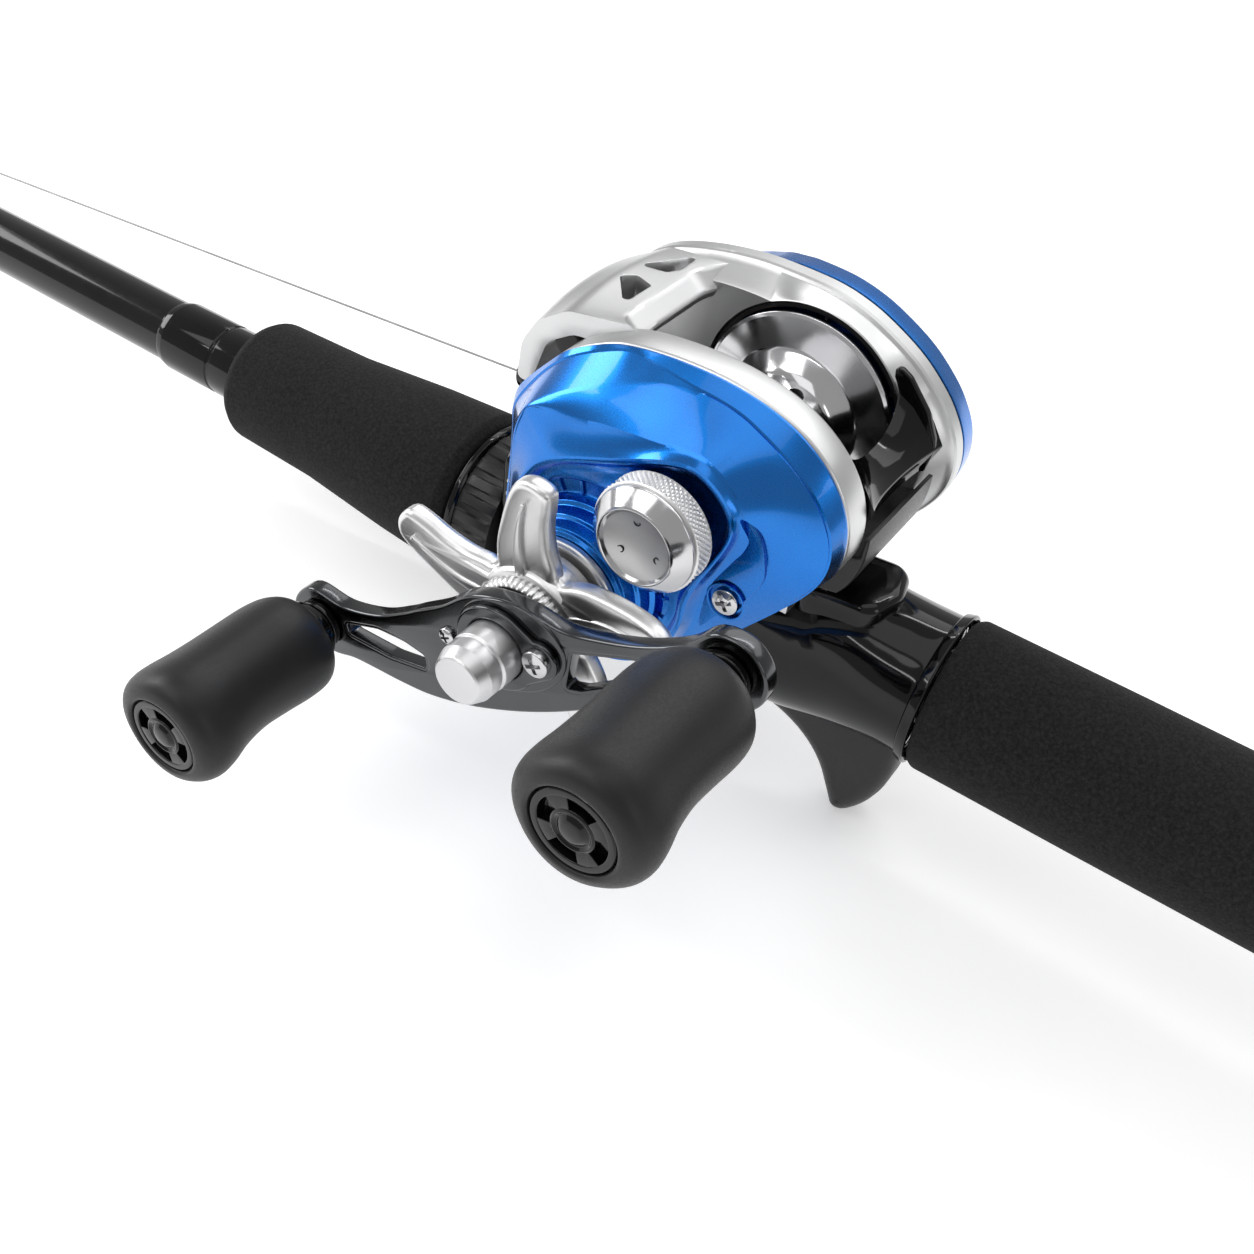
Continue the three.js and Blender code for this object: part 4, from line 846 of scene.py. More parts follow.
def handle_side_plate():
    """The handle-side plate: a steep shoulder, a sloping upper face, a lower front face and a raised
    contour that wraps the tension knob and the drive."""
    def ring(points):
        return polar(points, PLATE_CENTRE, AROUND)
    rim = ring([(x, z, -18.6) for x, z in handle_outline()])
    crease = ring([(-35.6, 22.0, -20.6), (-35.6, 27.0, -20.6), (-35.4, 31.6, -20.8), (-32.4, 37.2, -20.4),
        (-28.6, 42.0, -20.0), (-24.2, 45.4, -19.6), (-17.6, 48.7, -19.1), (-13.9, 49.4, -19.4),
        (-9.0, 49.7, -20.4), (-4.4, 49.6, -21.0), (0.9, 49.4, -21.2), (5.3, 48.8, -21.4),
        (9.0, 47.5, -21.6), (12.7, 45.9, -21.8), (16.3, 43.8, -21.9), (19.7, 41.0, -22.0),
        (22.1, 37.8, -22.0), (23.4, 34.8, -22.0), (23.9, 31.6, -22.2), (23.4, 28.2, -22.6),
        (21.6, 24.6, -23.2), (18.2, 20.0, -23.8), (13.8, 14.4, -24.2), (9.2, 8.6, -24.4), (5.4, 4.2, -24.4),
        (1.4, 0.2, -24.2), (-2.6, -2.6, -24.0), (-8, -5.0, -23.6), (-14, -5.9, -23.4), (-30, -5.8, -22.4),
        (-33.8, -4.0, -22.0), (-35.0, 0, -21.8), (-35.4, 12, -21.2)])
    upper = ring([(-31.2, 22.0, -26.0), (-31.4, 27.0, -26.2), (-31.0, 31.6, -26.6), (-29.8, 35.4, -26.9),
        (-28.2, 37.9, -27.0), (-24.0, 40.9, -26.2), (-18.0, 44.4, -24.6), (-13.4, 46.6, -23.4),
        (-8.6, 48.2, -22.4), (-3.6, 49.0, -21.6), (0.9, 49.1, -21.6), (5.2, 48.5, -21.8),
        (8.9, 47.2, -22.0), (12.5, 45.6, -22.2), (16.1, 43.5, -22.3), (19.4, 40.8, -22.4),
        (21.8, 37.6, -22.4), (23.1, 34.7, -22.4), (23.6, 31.6, -22.6), (23.1, 28.3, -23.0),
        (21.3, 24.9, -23.6), (18.0, 20.3, -24.2), (13.6, 14.7, -24.7), (8.9, 8.9, -24.9), (5.1, 4.6, -24.9),
        (1.1, 0.6, -24.7), (-2.8, -2.2, -24.5), (-8, -4.6, -24.1), (-14, -5.4, -24.0), (-28, -5.0, -23.8),
        (-31.2, -2.6, -24.2), (-31.8, 2, -24.8), (-31.4, 12, -25.6)])
    lower = ring([(-30.4, 22.0, -27.2), (-30.4, 27.0, -27.3), (-30.0, 31.6, -27.4), (-29.0, 35.2, -27.4),
        (-27.6, 37.6, -27.4), (-20.3, 39.6, -27.9), (-13.4, 41.6, -28.3), (-4.9, 43.0, -28.7),
        (3.3, 44.2, -28.8), (6.6, 43.5, -28.9), (9.4, 41.6, -29.0), (11.8, 38.0, -29.0),
        (12.1, 34.4, -28.9), (10.8, 29.8, -28.9), (9.0, 24.8, -28.8), (7.4, 19.0, -28.4),
        (6.4, 13.4, -28.0), (4.2, 7.6, -27.6), (0.0, 2.2, -27.2), (-6.0, -2.0, -26.8), (-13, -4.0, -26.6),
        (-22, -4.0, -26.6), (-28, -1.8, -26.8), (-30.2, 4.0, -27.0), (-30.4, 12, -27.2)])
    lip = ring([(-28.6, 17.0, -29.4), (-27.8, 23.5, -29.7), (-25.2, 29.0, -30.0), (-22.4, 32.0, -30.2),
        (-18.6, 34.4, -30.3), (-8.6, 39.0, -30.4), (-1.0, 42.4, -30.5), (3.6, 43.3, -30.4),
        (7.0, 41.9, -30.3), (9.8, 39.6, -30.3), (11.2, 37.0, -30.3), (11.1, 33.6, -30.3),
        (9.4, 28.6, -30.3), (7.3, 23.4, -30.3), (6.0, 18.6, -30.2), (5.4, 13.2, -30.0), (3.2, 7.8, -29.6),
        (-1.0, 2.8, -29.2), (-7, -1.0, -29), (-14, -3.0, -28.8), (-21, -3.0, -28.8), (-26.4, -0.6, -28.8),
        (-28.6, 5.0, -29.1)])
    inner_lip = (lip[0] - 1.1, lip[1] - 0.05)
    trough = (lip[0] - 2.0, lip[1] + 0.95)
    floor = level(lip, 3.4, -29.2)
    well = ring([(DRIVE[0] + 17.5 * math.cos(t), DRIVE[1] + 17.5 * math.sin(t),
        -29.2) for t in np.linspace(0, 2 * math.pi, 180, endpoint=False)])
    floor_edge = (np.minimum(well[0], floor[0] - 0.2), well[1])
    drop = (floor_edge[0] - 0.25, floor_edge[1] + 0.9)
    inside = (floor_edge[0] - 0.4, floor_edge[1] + 6.0)
    stack = [level(rim, 0.1, -18.6), rim, (rim[0], rim[1] - 0.35)]
    bead = (crease[0] - 0.35, crease[1] - 0.14)
    for a, b, steps, bulge in ((stack[-1], crease, 4, 0), (crease, bead, 1, 0), (bead, upper, 10, 0),
            (upper, lower, 14, -0.25), (lower, lip, 5, 0.25), (lip, inner_lip, 3, -0.12),
            (inner_lip, trough, 4, 0.12), (trough, floor, 3, 0.05), (floor, floor_edge, 6, 0),
            (floor_edge, drop, 3, 0), (drop, inside, 2, 0)):
        for k in range(1, steps + 1):
            stack.append(ring_between(a, b, k / steps, bulge))
    inward = [level(rim, 1.8, -20.5), level(rim, 1.6, -18.6)]
    rings = [polar_ring(r, PLATE_CENTRE) for r in inward + stack]
    shell = loft("handle_side_plate_shell", rings, "blue", ROOT, ("handle_side_plate",), cap=(False, False),
        sharp=17)
    scoop = np.vstack([smooth_path([(11.6, 37.6), (14.6, 35.2), (16.2, 31.6), (16.6, 27.6), (14.2, 22.4),
        (10.2, 17.0), (7.9, 14.0), (7.9, 19.0), (8.9, 23.6), (11.4, 29.0), (13.2, 33.0)], 6, True)])
    hollow = plate("tool", scoop, [], -34, -27.9, 0.01, "steel", None)
    cut(shell, [hollow], sharp=17)
    plate("handle_scoop_floor", scoop, [], -28.2, -27.4, 0.1, "blue", ROOT)
    lathe("handle_screw_pocket", "Y", HANDLE_SCREW, [(-28.7, 3.3), (-28.75, 3.0, 0.15), (-28.2, 2.75, 0.15),
        (-27.7, 2.7), (-27.7, 0)], "blue", ROOT)
    phillips("handle_plate_screw_head", HANDLE_SCREW, -28.0, -29.0, 2.35, 1, ROOT, "handle_plate_screw")


def drive_well():
    """The stepped ring round the drive: a trough with raised marks, a cone and a boss."""
    x, z = DRIVE
    lathe("drive_well_ring", "Y", DRIVE, [(-26, 17.6), (-28.4, 17.45, 0.3), (-28.4, 16.2, 0.3),
        (-27.9, 15.9, 0.2), (-27.9, 13.6, 0.3), (-28.6, 13.2, 0.25), (-29.6, 13.0, 0.25),
        (-30.0, 12.3, 0.3), (-32.2, 11.9, 0.3), (-32.4, 11.3, 0.2), (-34.6, 11.0, 0.2), (-34.8, 10.5, 0.2),
        (-35.6, 10.3, 0.15), (-35.6, 8.0), (-34, 7.6), (-29.1, 7.6)], "blue", ROOT, seg=144, sharp=25)
    for k in range(22):
        t = 2 * math.pi * k / 22 + 0.1
        long = 1.9 if k % 3 else 2.6
        c, s = math.cos(t), math.sin(t)
        loop = rounded([(-long / 2, -0.28, 0.12), (long / 2, -0.28, 0.12), (long / 2, 0.28, 0.12),
            (-long / 2, 0.28, 0.12)], True)
        plate(f"drive_well_mark_{k + 1}", loop, [], -28.35, -27.8, 0.12, "blue", ROOT,
            at=(x + 14.75 * c, z + 14.75 * s), turn=t)
    for k, angle in enumerate((40, 52, 64)):
        t = math.radians(angle)
        loop = rounded([(-3.4, -0.35, 0.2), (3.0, -0.5, 0.25), (3.0, 0.5, 0.25), (-3.4, 0.35, 0.2)], True)
        plate(f"drive_well_web_{k + 1}", loop, [], -30.2, -28.0, 0.3, "blue", ROOT,
            at=(x + 16.2 * math.cos(t), z + 16.2 * math.sin(t)), turn=t)
    lathe("bearing_cap_disc", "Y", DRIVE, [(-35.8, 4.2), (-35.8, 10.2, 0.2), (-37.0, 10.4, 0.45),
        (-37.35, 9.8, 0.3), (-37.3, 4.2)], "bright", ROOT, ("bearing_cap",), closed=True, seg=96)


def phillips(name, at, base, face, radius, out, body, node):
    """A domed cross-head screw whose head points towards -Y (out 1) or +Y (out -1)."""
    dome = face - out * 0.35
    head = lathe(name, "Y", at, [(base, 0), (base, radius, 0.1), (face, radius * 0.96, 0.3),
        (dome, radius * 0.5, 0.8), (dome - out * 0.05, 0)], "polished", body, (node,), seg=40, slot="steel")
    tools = []
    for turn in (0.5, 0.5 + math.pi / 2):
        w, l = radius * 0.15, radius * 0.62
        lo, hi = sorted((dome - out * 1.0, dome + out * 0.75))
        tools.append(plate("tool", [(-l, -w), (l, -w), (l, w), (-l, w)], [], lo, hi, 0.005, "steel", None,
            at=at, turn=turn))
    return cut(head, tools, sharp=35)


def palm_side_plate():
    centre = (-5.0, 22.0)

    def ring(points):
        return polar(points, centre, 360)
    rim = ring([(x, z, 19.8) for x, z in palm_plate_outline()])
    rim = (rim[0] - 0.1, rim[1])
    shoulder, crease, face, groove, inner = [level(rim, *step) for step in (
        (0.35, 24.0), (1.6, 25.6), (6.0, 26.8), (6.8, 26.2), (7.6, 26.6))]
    flat = (rim[0] * 0.45, level(rim, 0, 26.9)[1])
    stack = [level(rim, 1.8, 22), level(rim, 1.6, 19.8), rim, (rim[0], rim[1] + 0.35)]
    for a, b, steps, bulge in ((stack[-1], shoulder, 3, 0.1), (shoulder, crease, 4, 0.12),
            (crease, face, 6, 0.15), (face, groove, 2, 0), (groove, inner, 2, 0), (inner, flat, 6, 0.1)):
        for k in range(1, steps + 1):
            stack.append(ring_between(a, b, k / steps, bulge))
    shell = loft("palm_side_plate_shell", [polar_ring(r, centre) for r in stack], "blue", ROOT,
        ("palm_side_plate",), cap=(False, True), sharp=20)
    cut(shell, [tool_rod("Y", SPOOL, 25.6, 30, 8.3, seg=72), tool_rod("Y", PALM_SCREW, 24.7, 30, 2.8)],
        sharp=20)
    lathe("palm_dial_seat", "Y", SPOOL, [(27.2, 8.9, 0.1), (27.3, 8.4, 0.15), (26.0, 8.1, 0.2), (25.9, 0)],
        "blue", ROOT, seg=72)
    lathe("palm_screw_pocket", "Y", PALM_SCREW, [(26.6, 2.95), (24.8, 2.75, 0.1), (24.8, 0)], "blue", ROOT)
    phillips("palm_plate_screw_head", PALM_SCREW, 24.9, 25.9, 2.35, -1, ROOT, "palm_plate_screw")
    grips = 24
    lathe("brake_dial_knob", "Y", SPOOL, [(26.1, 0), (26.1, 6.9), (26.6, 7.1), (28.0, 7.0),
        (28.5, 6.5, 0.3), (28.8, 5.2, 0.2), (28.4, 4.9, 0.2), (28.4, 0)], "satin_black", "brake_control",
        ("brake_dial",), seg=240, swell=lambda a, r, t: r - (0.28 * np.clip(np.cos(t * grips) * 3, 0,
        1) if r > 6.6 else 0 * t), sharp=45)
    plate("brake_dial_grip", rounded([(-4.6, -0.8, 0.6), (4.6, -0.8, 0.6), (4.6, 0.8, 0.6),
        (-4.6, 0.8, 0.6)], True), [], 28.2, 28.8, 0.25, "satin_black", "brake_control", at=SPOOL, turn=0.6)
    for k in range(9):
        t = math.radians(150 - 30 * k)
        lathe(f"palm_dial_mark_{k + 1}", "Y", (SPOOL[0] + 9.9 * math.cos(t), SPOOL[1] + 9.9 * math.sin(t)),
            [(26.6, 0), (26.6, 0.34 + 0.04 * k), (27.15, 0.3 + 0.04 * k, 0.1), (27.15, 0)], "bright", ROOT,
            seg=20)


# ------------------------------------------------------------------ thumb bar and rear cover
def clear_of_spool(loop):
    """An outline kept outside the spool's flanges through the bar's whole press."""
    kept = []
    for x, z in loop:
        for press in (0.0, THUMB_PRESS / 2, THUMB_PRESS):
            reach = SPOOL_CLEARANCE ** 2 - (z - press - SPOOL[1]) ** 2
            if reach > 0:
                x = max(x, SPOOL[0] + math.sqrt(reach))
        kept.append((x, z))
    return kept


def thumb_bar():
    """The saddle between the side plates: scooped for the thumb, with a cheek against the palm wall."""
    rings = []
    for y in np.linspace(-11.6, 11.6, 59):
        u = min(1.0, abs(y + 0.6) / 12.2)
        dip = u ** 2.3
        loop = rounded([
            (17.2 - 1.9 * dip, 38.2 + 7.0 * dip, 0.45), (19.2 + 0.4 * dip, 37.6 + 5.4 * dip, 2.5),
            (21.6 + 1.3 * dip, 36.5 + 3.0 * dip, 2.5), (23.4 + 2.0 * dip, 34.8 + 1.2 * dip, 0.5),
            (22.8 + 0.7 * dip, 30.8, 0.7), (19.6, 30.6, 0.7), (17.6, 34.6, 1.6)], True)
        rings.append(respaced(clear_of_spool(loop), 120, y))
    loft("thumb_bar_saddle", rings, "gloss_black", "thumb_release", ("thumb_bar",), sharp=32)
    cheek = rounded([(14.0, 44.6, 0.8), (15.4, 47.2, 1.0), (17.8, 46.0, 2), (22.2, 41.4, 4),
        (24.9, 36.4, 4), (24.0, 30.8, 1), (22.4, 30.8, 1), (21.6, 35.0, 4), (18.0, 40.0, 4)], True)
    cheek = np.array(clear_of_spool(cheek))
    plate("thumb_bar_cheek", cheek, [], 9.9, 11.1, 0.3, "gloss_black", "thumb_release", sharp=35)
    pocket = [(24.7, 30.4), (24.6, 27.0), (24.0, 26.6)]
    cover = np.vstack([quad((17.4, 17.4), (19.0, 22), (19.2, 26.6)), pocket[::-1],
        quad((25.4, 30.4), (26.0, 22), (21.8, 17.4))])
    plate("rear_cover_moulding", cover, [], -11.7, 11.7, 0.5, "satin_black", ROOT, ("rear_cover",), sharp=35)


# ------------------------------------------------------------------ spool
def spool():
    body = lathe("spool_turned", "Y", SPOOL, [(-10.6, 17.2, 0.15), (-10.5, 17.5, 0.15), (-9.9, 17.5, 0.15),
        (-9.6, 16.9, 0.3), (-8.2, 11.9, 2.0), (-5.6, 8.8, 2.5), (-1.2, 8.2, 3), (1.2, 8.2, 3),
        (5.6, 8.8, 2.5), (8.2, 11.9, 2.0), (9.6, 16.9, 0.3), (9.9, 17.5, 0.15), (10.5, 17.5, 0.15),
        (10.6, 17.2, 0.15), (9.3, 10.6, 1), (6.6, 7.2, 1), (6.6, 3.9, 0.5), (10.6, 3.9, 0.3), (10.6, 1.75),
        (-10.6, 1.75), (-10.6, 3.9, 0.3), (-6.6, 3.9, 0.5), (-6.6, 7.2, 1), (-9.3, 10.6, 1)], "polished",
        "spool_set", ("spool",), closed=True, seg=144, sharp=35)
    angle = np.linspace(0, 2 * math.pi, 28, endpoint=False)

    def port_ring(k, distance, r):
        t = math.radians(72 + 60 * k)
        aim = np.array([math.cos(t), 0, math.sin(t)])
        side = np.array([-math.sin(t), 0, math.cos(t)])
        base = np.array([SPOOL[0], 2.6, SPOOL[1]])
        round_port = np.outer(np.cos(angle), side) + np.outer(np.sin(angle), (0, 1, 0))
        return base + aim * distance + r * round_port

    tools = []
    for k in range(6):
        tools.append(loft("tool", [port_ring(k, 7.9, 1.35), port_ring(k, 13.0, 1.35)], "steel", None))
    cut(body, tools, sharp=35)
    # Each port gets a satin black lining closed by a black disc: painted shade standing in for the dark
    # inside of the hole.
    for k in range(6):
        painted_shade_lining = [port_ring(k, distance, r) for distance, r in ((8.45, 1.36), (8.2, 1.2), (7.95, 1.15))]
        loft(f"spool_port_painted_shade_{k + 1}", painted_shade_lining, "satin_black", "spool_set", cap=(False, True), slot="polished")


# ------------------------------------------------------------------ tension knob
def tension_knob():
    count = 60

    def diamonds(a, r, t):
        if not -35.25 < a < -31.75:
            return np.full(t.shape, r)
        u = np.abs(((t * count / (2 * math.pi) + a / 1.0) % 1) - 0.5) * 2
        v = np.abs(((t * count / (2 * math.pi) - a / 1.0) % 1) - 0.5) * 2
        return r - 0.36 + 0.42 * np.minimum(np.minimum(u, v) * 1.5, 1.0)
    rows = [(float(a), 9.2) for a in np.linspace(-31.7, -35.3, 46)]
    lathe("tension_knob_knurled", "Y", SPOOL, [(-31.3, 6.8), (-31.3, 8.7, 0.2),
        (-31.55, 9.05)] + rows + [(-35.45, 9.1), (-35.6, 8.85, 0.1), (-35.6, 6.5)], "bright",
        "cast_control", ("tension_knob",), seg=608, swell=diamonds, sharp=60, slot="polished")
    lathe("tension_knob_crown", "Y", SPOOL, [(-35.5, 6.0), (-35.5, 8.75, 0.15), (-36.1, 8.8, 0.35),
        (-38.3, 6.7, 0.25), (-38.55, 6.35, 0.2), (-38.4, 6.05, 0.1), (-38.0, 5.7)], "polished",
        "cast_control", seg=120)
    lathe("tension_knob_face", "Y", SPOOL, [(-38.3, 6.0), (-37.9, 5.7, 0.4), (-36.0, 0)], "turned_dark",
        "cast_control", seg=120, slot="polished")
    # The three holes are lined with satin black cups: painted shade standing in for the dark inside of each
    # hole.
    for k in range(3):
        t = math.radians(100 + 120 * k)
        at = (SPOOL[0] + 3.7 * math.cos(t), SPOOL[1] + 3.7 * math.sin(t))
        lathe(f"tension_knob_hole_painted_shade_{k + 1}", "Y", at, [(-36.9, 0.62), (-37.35, 0.6, 0.1), (-37.3, 0.42, 0.1),
            (-36.95, 0.4), (-36.95, 0)], "satin_black", "cast_control", seg=28, slot="polished")


# ------------------------------------------------------------------ level wind
def level_wind():
    inner = 12.0

    def grooves(a, r, t):
        if r < 2.1 or not -11 < a < 10.5:
            return np.full(t.shape, r)
        dip = 0
        for sign in (1, -1):
            turn = np.abs(((t / (2 * math.pi) + sign * a / 5.2) % 1) - 0.5)
            dip = np.maximum(dip, np.clip(1 - turn / 0.11, 0, 1))
        return r - 0.55 * np.minimum(dip * 2, 1)
    rows = [(float(a), 2.2) for a in np.linspace(-18.5, inner - 0.5, 160)]
    lathe("worm_shaft_grooved", "Y", WORM, [(-21.4, 0), (-21.4, 1.6),
        (-18.6, 1.6)] + rows + [(inner - 0.3, 0)], "steel", "worm", ("worm_shaft",), seg=72, swell=grooves,
        sharp=50)
    lathe("guide_bar_rod", "Y", GUIDE_BAR, [(-11.7, 0), (-11.7, 1.2, 0.2), (11.7, 1.2, 0.2), (11.7, 0)],
        "steel", ROOT, ("guide_bar",), seg=32)
    y0, y1 = LINE_Y - 2.6, LINE_Y + 2.6
    side = rounded([(-33.6, 11.6, 1), (-27, 11.6, 1.4), (-26.7, 17.6, 2), (-34.5, 18, 1.5),
        (-36, 21.4, 1.2), (-40, 21.4, 1), (-41.8, 24.0, 1), (-44.4, 24.0, 0.6), (-44.6, 21.6, 1),
        (-42.4, 21.2, 1), (-40.2, 16.8, 2), (-35, 16.4, 1)], True)
    carriage = plate("line_guide_carrier", side, [], y0, y1, 0.6, "gloss_black", "line_guide_carriage",
        ("line_guide",), sharp=40, slot="satin_black")
    cut(carriage, [tool_rod("Y", WORM, -12, 6, 2.5), tool_rod("Y", GUIDE_BAR, -12, 6, 1.5),
        tool_rod("X", (LINE_Y, EYE[1]), -48, -38, 2.6)], sharp=40)
    lathe("line_guide_eye_frame", "X", (LINE_Y, EYE[1]), [(-45, 2.45), (-45, 3.6, 0.4), (-43, 3.8, 0.4),
        (-43, 2.45)], "gloss_black", "line_guide_carriage", closed=True, seg=64, slot="satin_black")
    lathe("line_guide_eye_ring", "X", (LINE_Y, EYE[1]), [(-45.2, 2.0, 0.3), (-45.2, 2.6, 0.2),
        (-42.8, 2.6, 0.2), (-42.8, 2.0, 0.3), (-44, 1.85, 0.8)], "ceramic", "line_guide_carriage",
        ("line_guide_insert",), closed=True, seg=64)


# ------------------------------------------------------------------ drag star and crank
def star_sweep(r):
    return 0.016 * max(0.0, 25.0 - r) if r > 14 else 0.176


def star_drag():
    arms = 5
    points = []
    for i in range(arms):
        a = math.radians(STAR_START) + 2 * math.pi * i / arms
        for r, off in ((10.2, -0.56), (11.6, -0.48), (14.4, -0.34), (18.5, -0.225), (22.6, -0.165),
                (25.4, -0.11), (26.35, 0.0), (25.4, 0.11), (22.6, 0.165), (18.5, 0.225), (14.4, 0.34),
                (11.6, 0.48), (10.2, 0.56)):
            swept = a + off + star_sweep(r)
            points.append((r * math.cos(swept), r * math.sin(swept)))
    outline = smooth_path(points, 4, True)

    def curl(u, v):
        r = np.hypot(u - DRIVE[0], v - DRIVE[1])
        return -0.006 * np.clip(r - 9, 0, None) ** 2 + 0.4
    plate("star_drag_blades", outline, [], -45.3, -41.6, 1.25, "bright", "star_wheel", ("star_drag",),
        at=DRIVE, bend=curl, sharp=50)
    for i in range(arms):
        a = math.radians(STAR_START) + 2 * math.pi * i / arms
        halves = ((8.6, 1.0), (13, 0.8), (17, 0.6), (20.5, 0.4), (22.6, 0.1))
        edges = list(halves) + [(r, -w) for r, w in reversed(halves)]
        rib = [(r * math.cos(a + star_sweep(r) + w / r), r * math.sin(a + star_sweep(r) + w / r)) for r,
            w in edges]
        plate(f"star_drag_rib_{i + 1}", smooth_path(rib, 4, True), [], -46.2, -43, 0.42, "bright",
            "star_wheel", at=DRIVE, bend=curl, sharp=50)
    lathe("star_drag_hub", "Y", DRIVE, [(-38.2, 3.4), (-38.2, 8.9, 0.4), (-40.5, 9.9, 1.0),
        (-43.2, 10.2, 1.6), (-45.6, 9.3, 1.0), (-46.1, 7.9, 0.3), (-46.1, 3.4)], "bright", "star_wheel",
        closed=True, seg=96)
    teeth = 48
    lathe("star_drag_click_ring", "Y", DRIVE, [(-46.0, 3.4), (-46.0, 8.5), (-46.3, 8.6), (-47.3, 8.2),
        (-47.6, 7.5, 0.2), (-47.6, 3.4)], "bright", "star_wheel", closed=True, seg=384, swell=lambda a, r,
        t: r - (0.45 * np.clip(np.cos(t * teeth) * 2, 0, 1) if r > 8 else 0 * t), sharp=60)


def crank_loop():
    return smooth_path([(46.8, 0), (45.0, 4.4), (40.3, 6.2), (34.6, 3.9), (27.6, 2.7), (20.5, 2.7),
        (13.4, 3.6), (7.4, 6.6), (1.4, 8.2), (-4.0, 8.0), (-10.1, 5.8), (-16.0, 4.4), (-20.0, 3.4),
        (-26.3, 2.4), (-34.0, 3.2), (-40.3, 6.2), (-45.2, 4.2), (-46.8, 0), (-45.0, -4.6), (-40.3, -6.4),
        (-36.0, -7.0), (-31.3, -8.6), (-25.8, -10.6), (-20.0, -12.2), (-11.9, -13.0), (-3.1, -12.7),
        (5.6, -11.6), (13.9, -9.8), (20.0, -8.0), (28.0, -6.6), (35.0, -6.2), (40.3, -6.5), (45.0, -4.4)],
        6, True)


def on_crank(u, v=0.0):
    c, s = math.cos(CRANK_TILT), math.sin(CRANK_TILT)
    return (DRIVE[0] + u * c - v * s, DRIVE[1] + u * s + v * c)


def crank():
    windows = []
    for corners in ([(-34.9, 0.3, 1), (-27.1, 0.0, 6), (-21.7, -1.8, 6), (-17.8, -4.2, 1.2),
            (-18.6, -7.2, 1.2), (-26.7, -5.6, 6), (-35.2, -2.2, 1)],
            [(9.8, -6.8, 0.8), (13.6, 0.2, 1), (24.0, 0.5, 6), (32.2, 0.2, 0.8), (20.0, -5.2, 6),
            (13.4, -6.9, 2)]):
        windows.append(np.array(rounded(corners, True)))
    plate("crank_arm_plate", crank_loop(), windows, -52, -48.8, 0.55, "gunmetal", "crank", ("crank_arm",),
        at=DRIVE, turn=CRANK_TILT, sharp=28)
    for k, window in enumerate(windows):
        if loop_area(window) <= 0:
            window = window[::-1]
        plate(f"crank_window_trim_{k + 1}", draw_in(window, -0.55), [draw_in(window, 0.35)], -51.9, -49.4,
            0.25, "gunmetal", "crank", at=DRIVE, turn=CRANK_TILT, sharp=28)
    t = np.linspace(0, 2 * math.pi, 72, endpoint=False)
    pad = np.stack([1.2 + 10.2 * np.cos(t) * (1 + 0.12 * np.cos(t)), 8.2 * np.sin(t)], -1)
    plate("crank_boss_pad", pad, [], -52.35, -51.5, 0.35, "gunmetal", "crank", at=DRIVE, turn=CRANK_TILT,
        sharp=28)
    plate("nut_retainer_plate", retainer_loop(), [ring_loop(0, 0, 5.3, 48)], -53.5, -52.3, 0.4, "gunmetal",
        "crank", ("nut_retainer",), at=DRIVE, turn=CRANK_TILT, sharp=28)
    lathe("crank_nut_turned", "Y", DRIVE, [(-52.4, 5.0), (-52.4, 5.15), (-57.2, 5.1, 0.15),
        (-57.5, 4.75, 0.15), (-57.8, 4.75, 0.1), (-58.0, 5.0, 0.15), (-60.2, 4.95, 0.2), (-62.1, 4.2, 0.25),
        (-62.4, 3.9, 0.15), (-62.4, 0)], "turned", "crank", ("crank_nut",), seg=96, sharp=25)
    phillips("retainer_screw_head", on_crank(8.1, -1.2), -53.4, -54.4, 2.35, 1, "crank", "retainer_screw")
    phillips("window_screw_head", on_crank(-10.6, 0.6), -52.0, -52.7, 1.5, 1, "crank", "crank_arm")
    lathe("drive_shaft_turned", "Y", DRIVE, [(-48.9, 0), (-48.9, 2.9), (-38, 2.9), (-38, 3.8, 0.2),
        (-18.6, 3.8), (-18.6, 2), (-14.3, 2), (-14.3, 0)], "steel", "crank", ("drive_shaft",), seg=48)


def retainer_loop():
    big = np.linspace(math.pi * 0.22, math.pi * 1.72, 40)
    small = np.linspace(-math.pi * 0.42, math.pi * 0.5, 18)
    return smooth_path(np.vstack([np.stack([7.4 * np.cos(big), 7.4 * np.sin(big)], -1),
        np.stack([8.1 + 3.3 * np.cos(small), -1.2 + 3.3 * np.sin(small)], -1)]), 2, True)


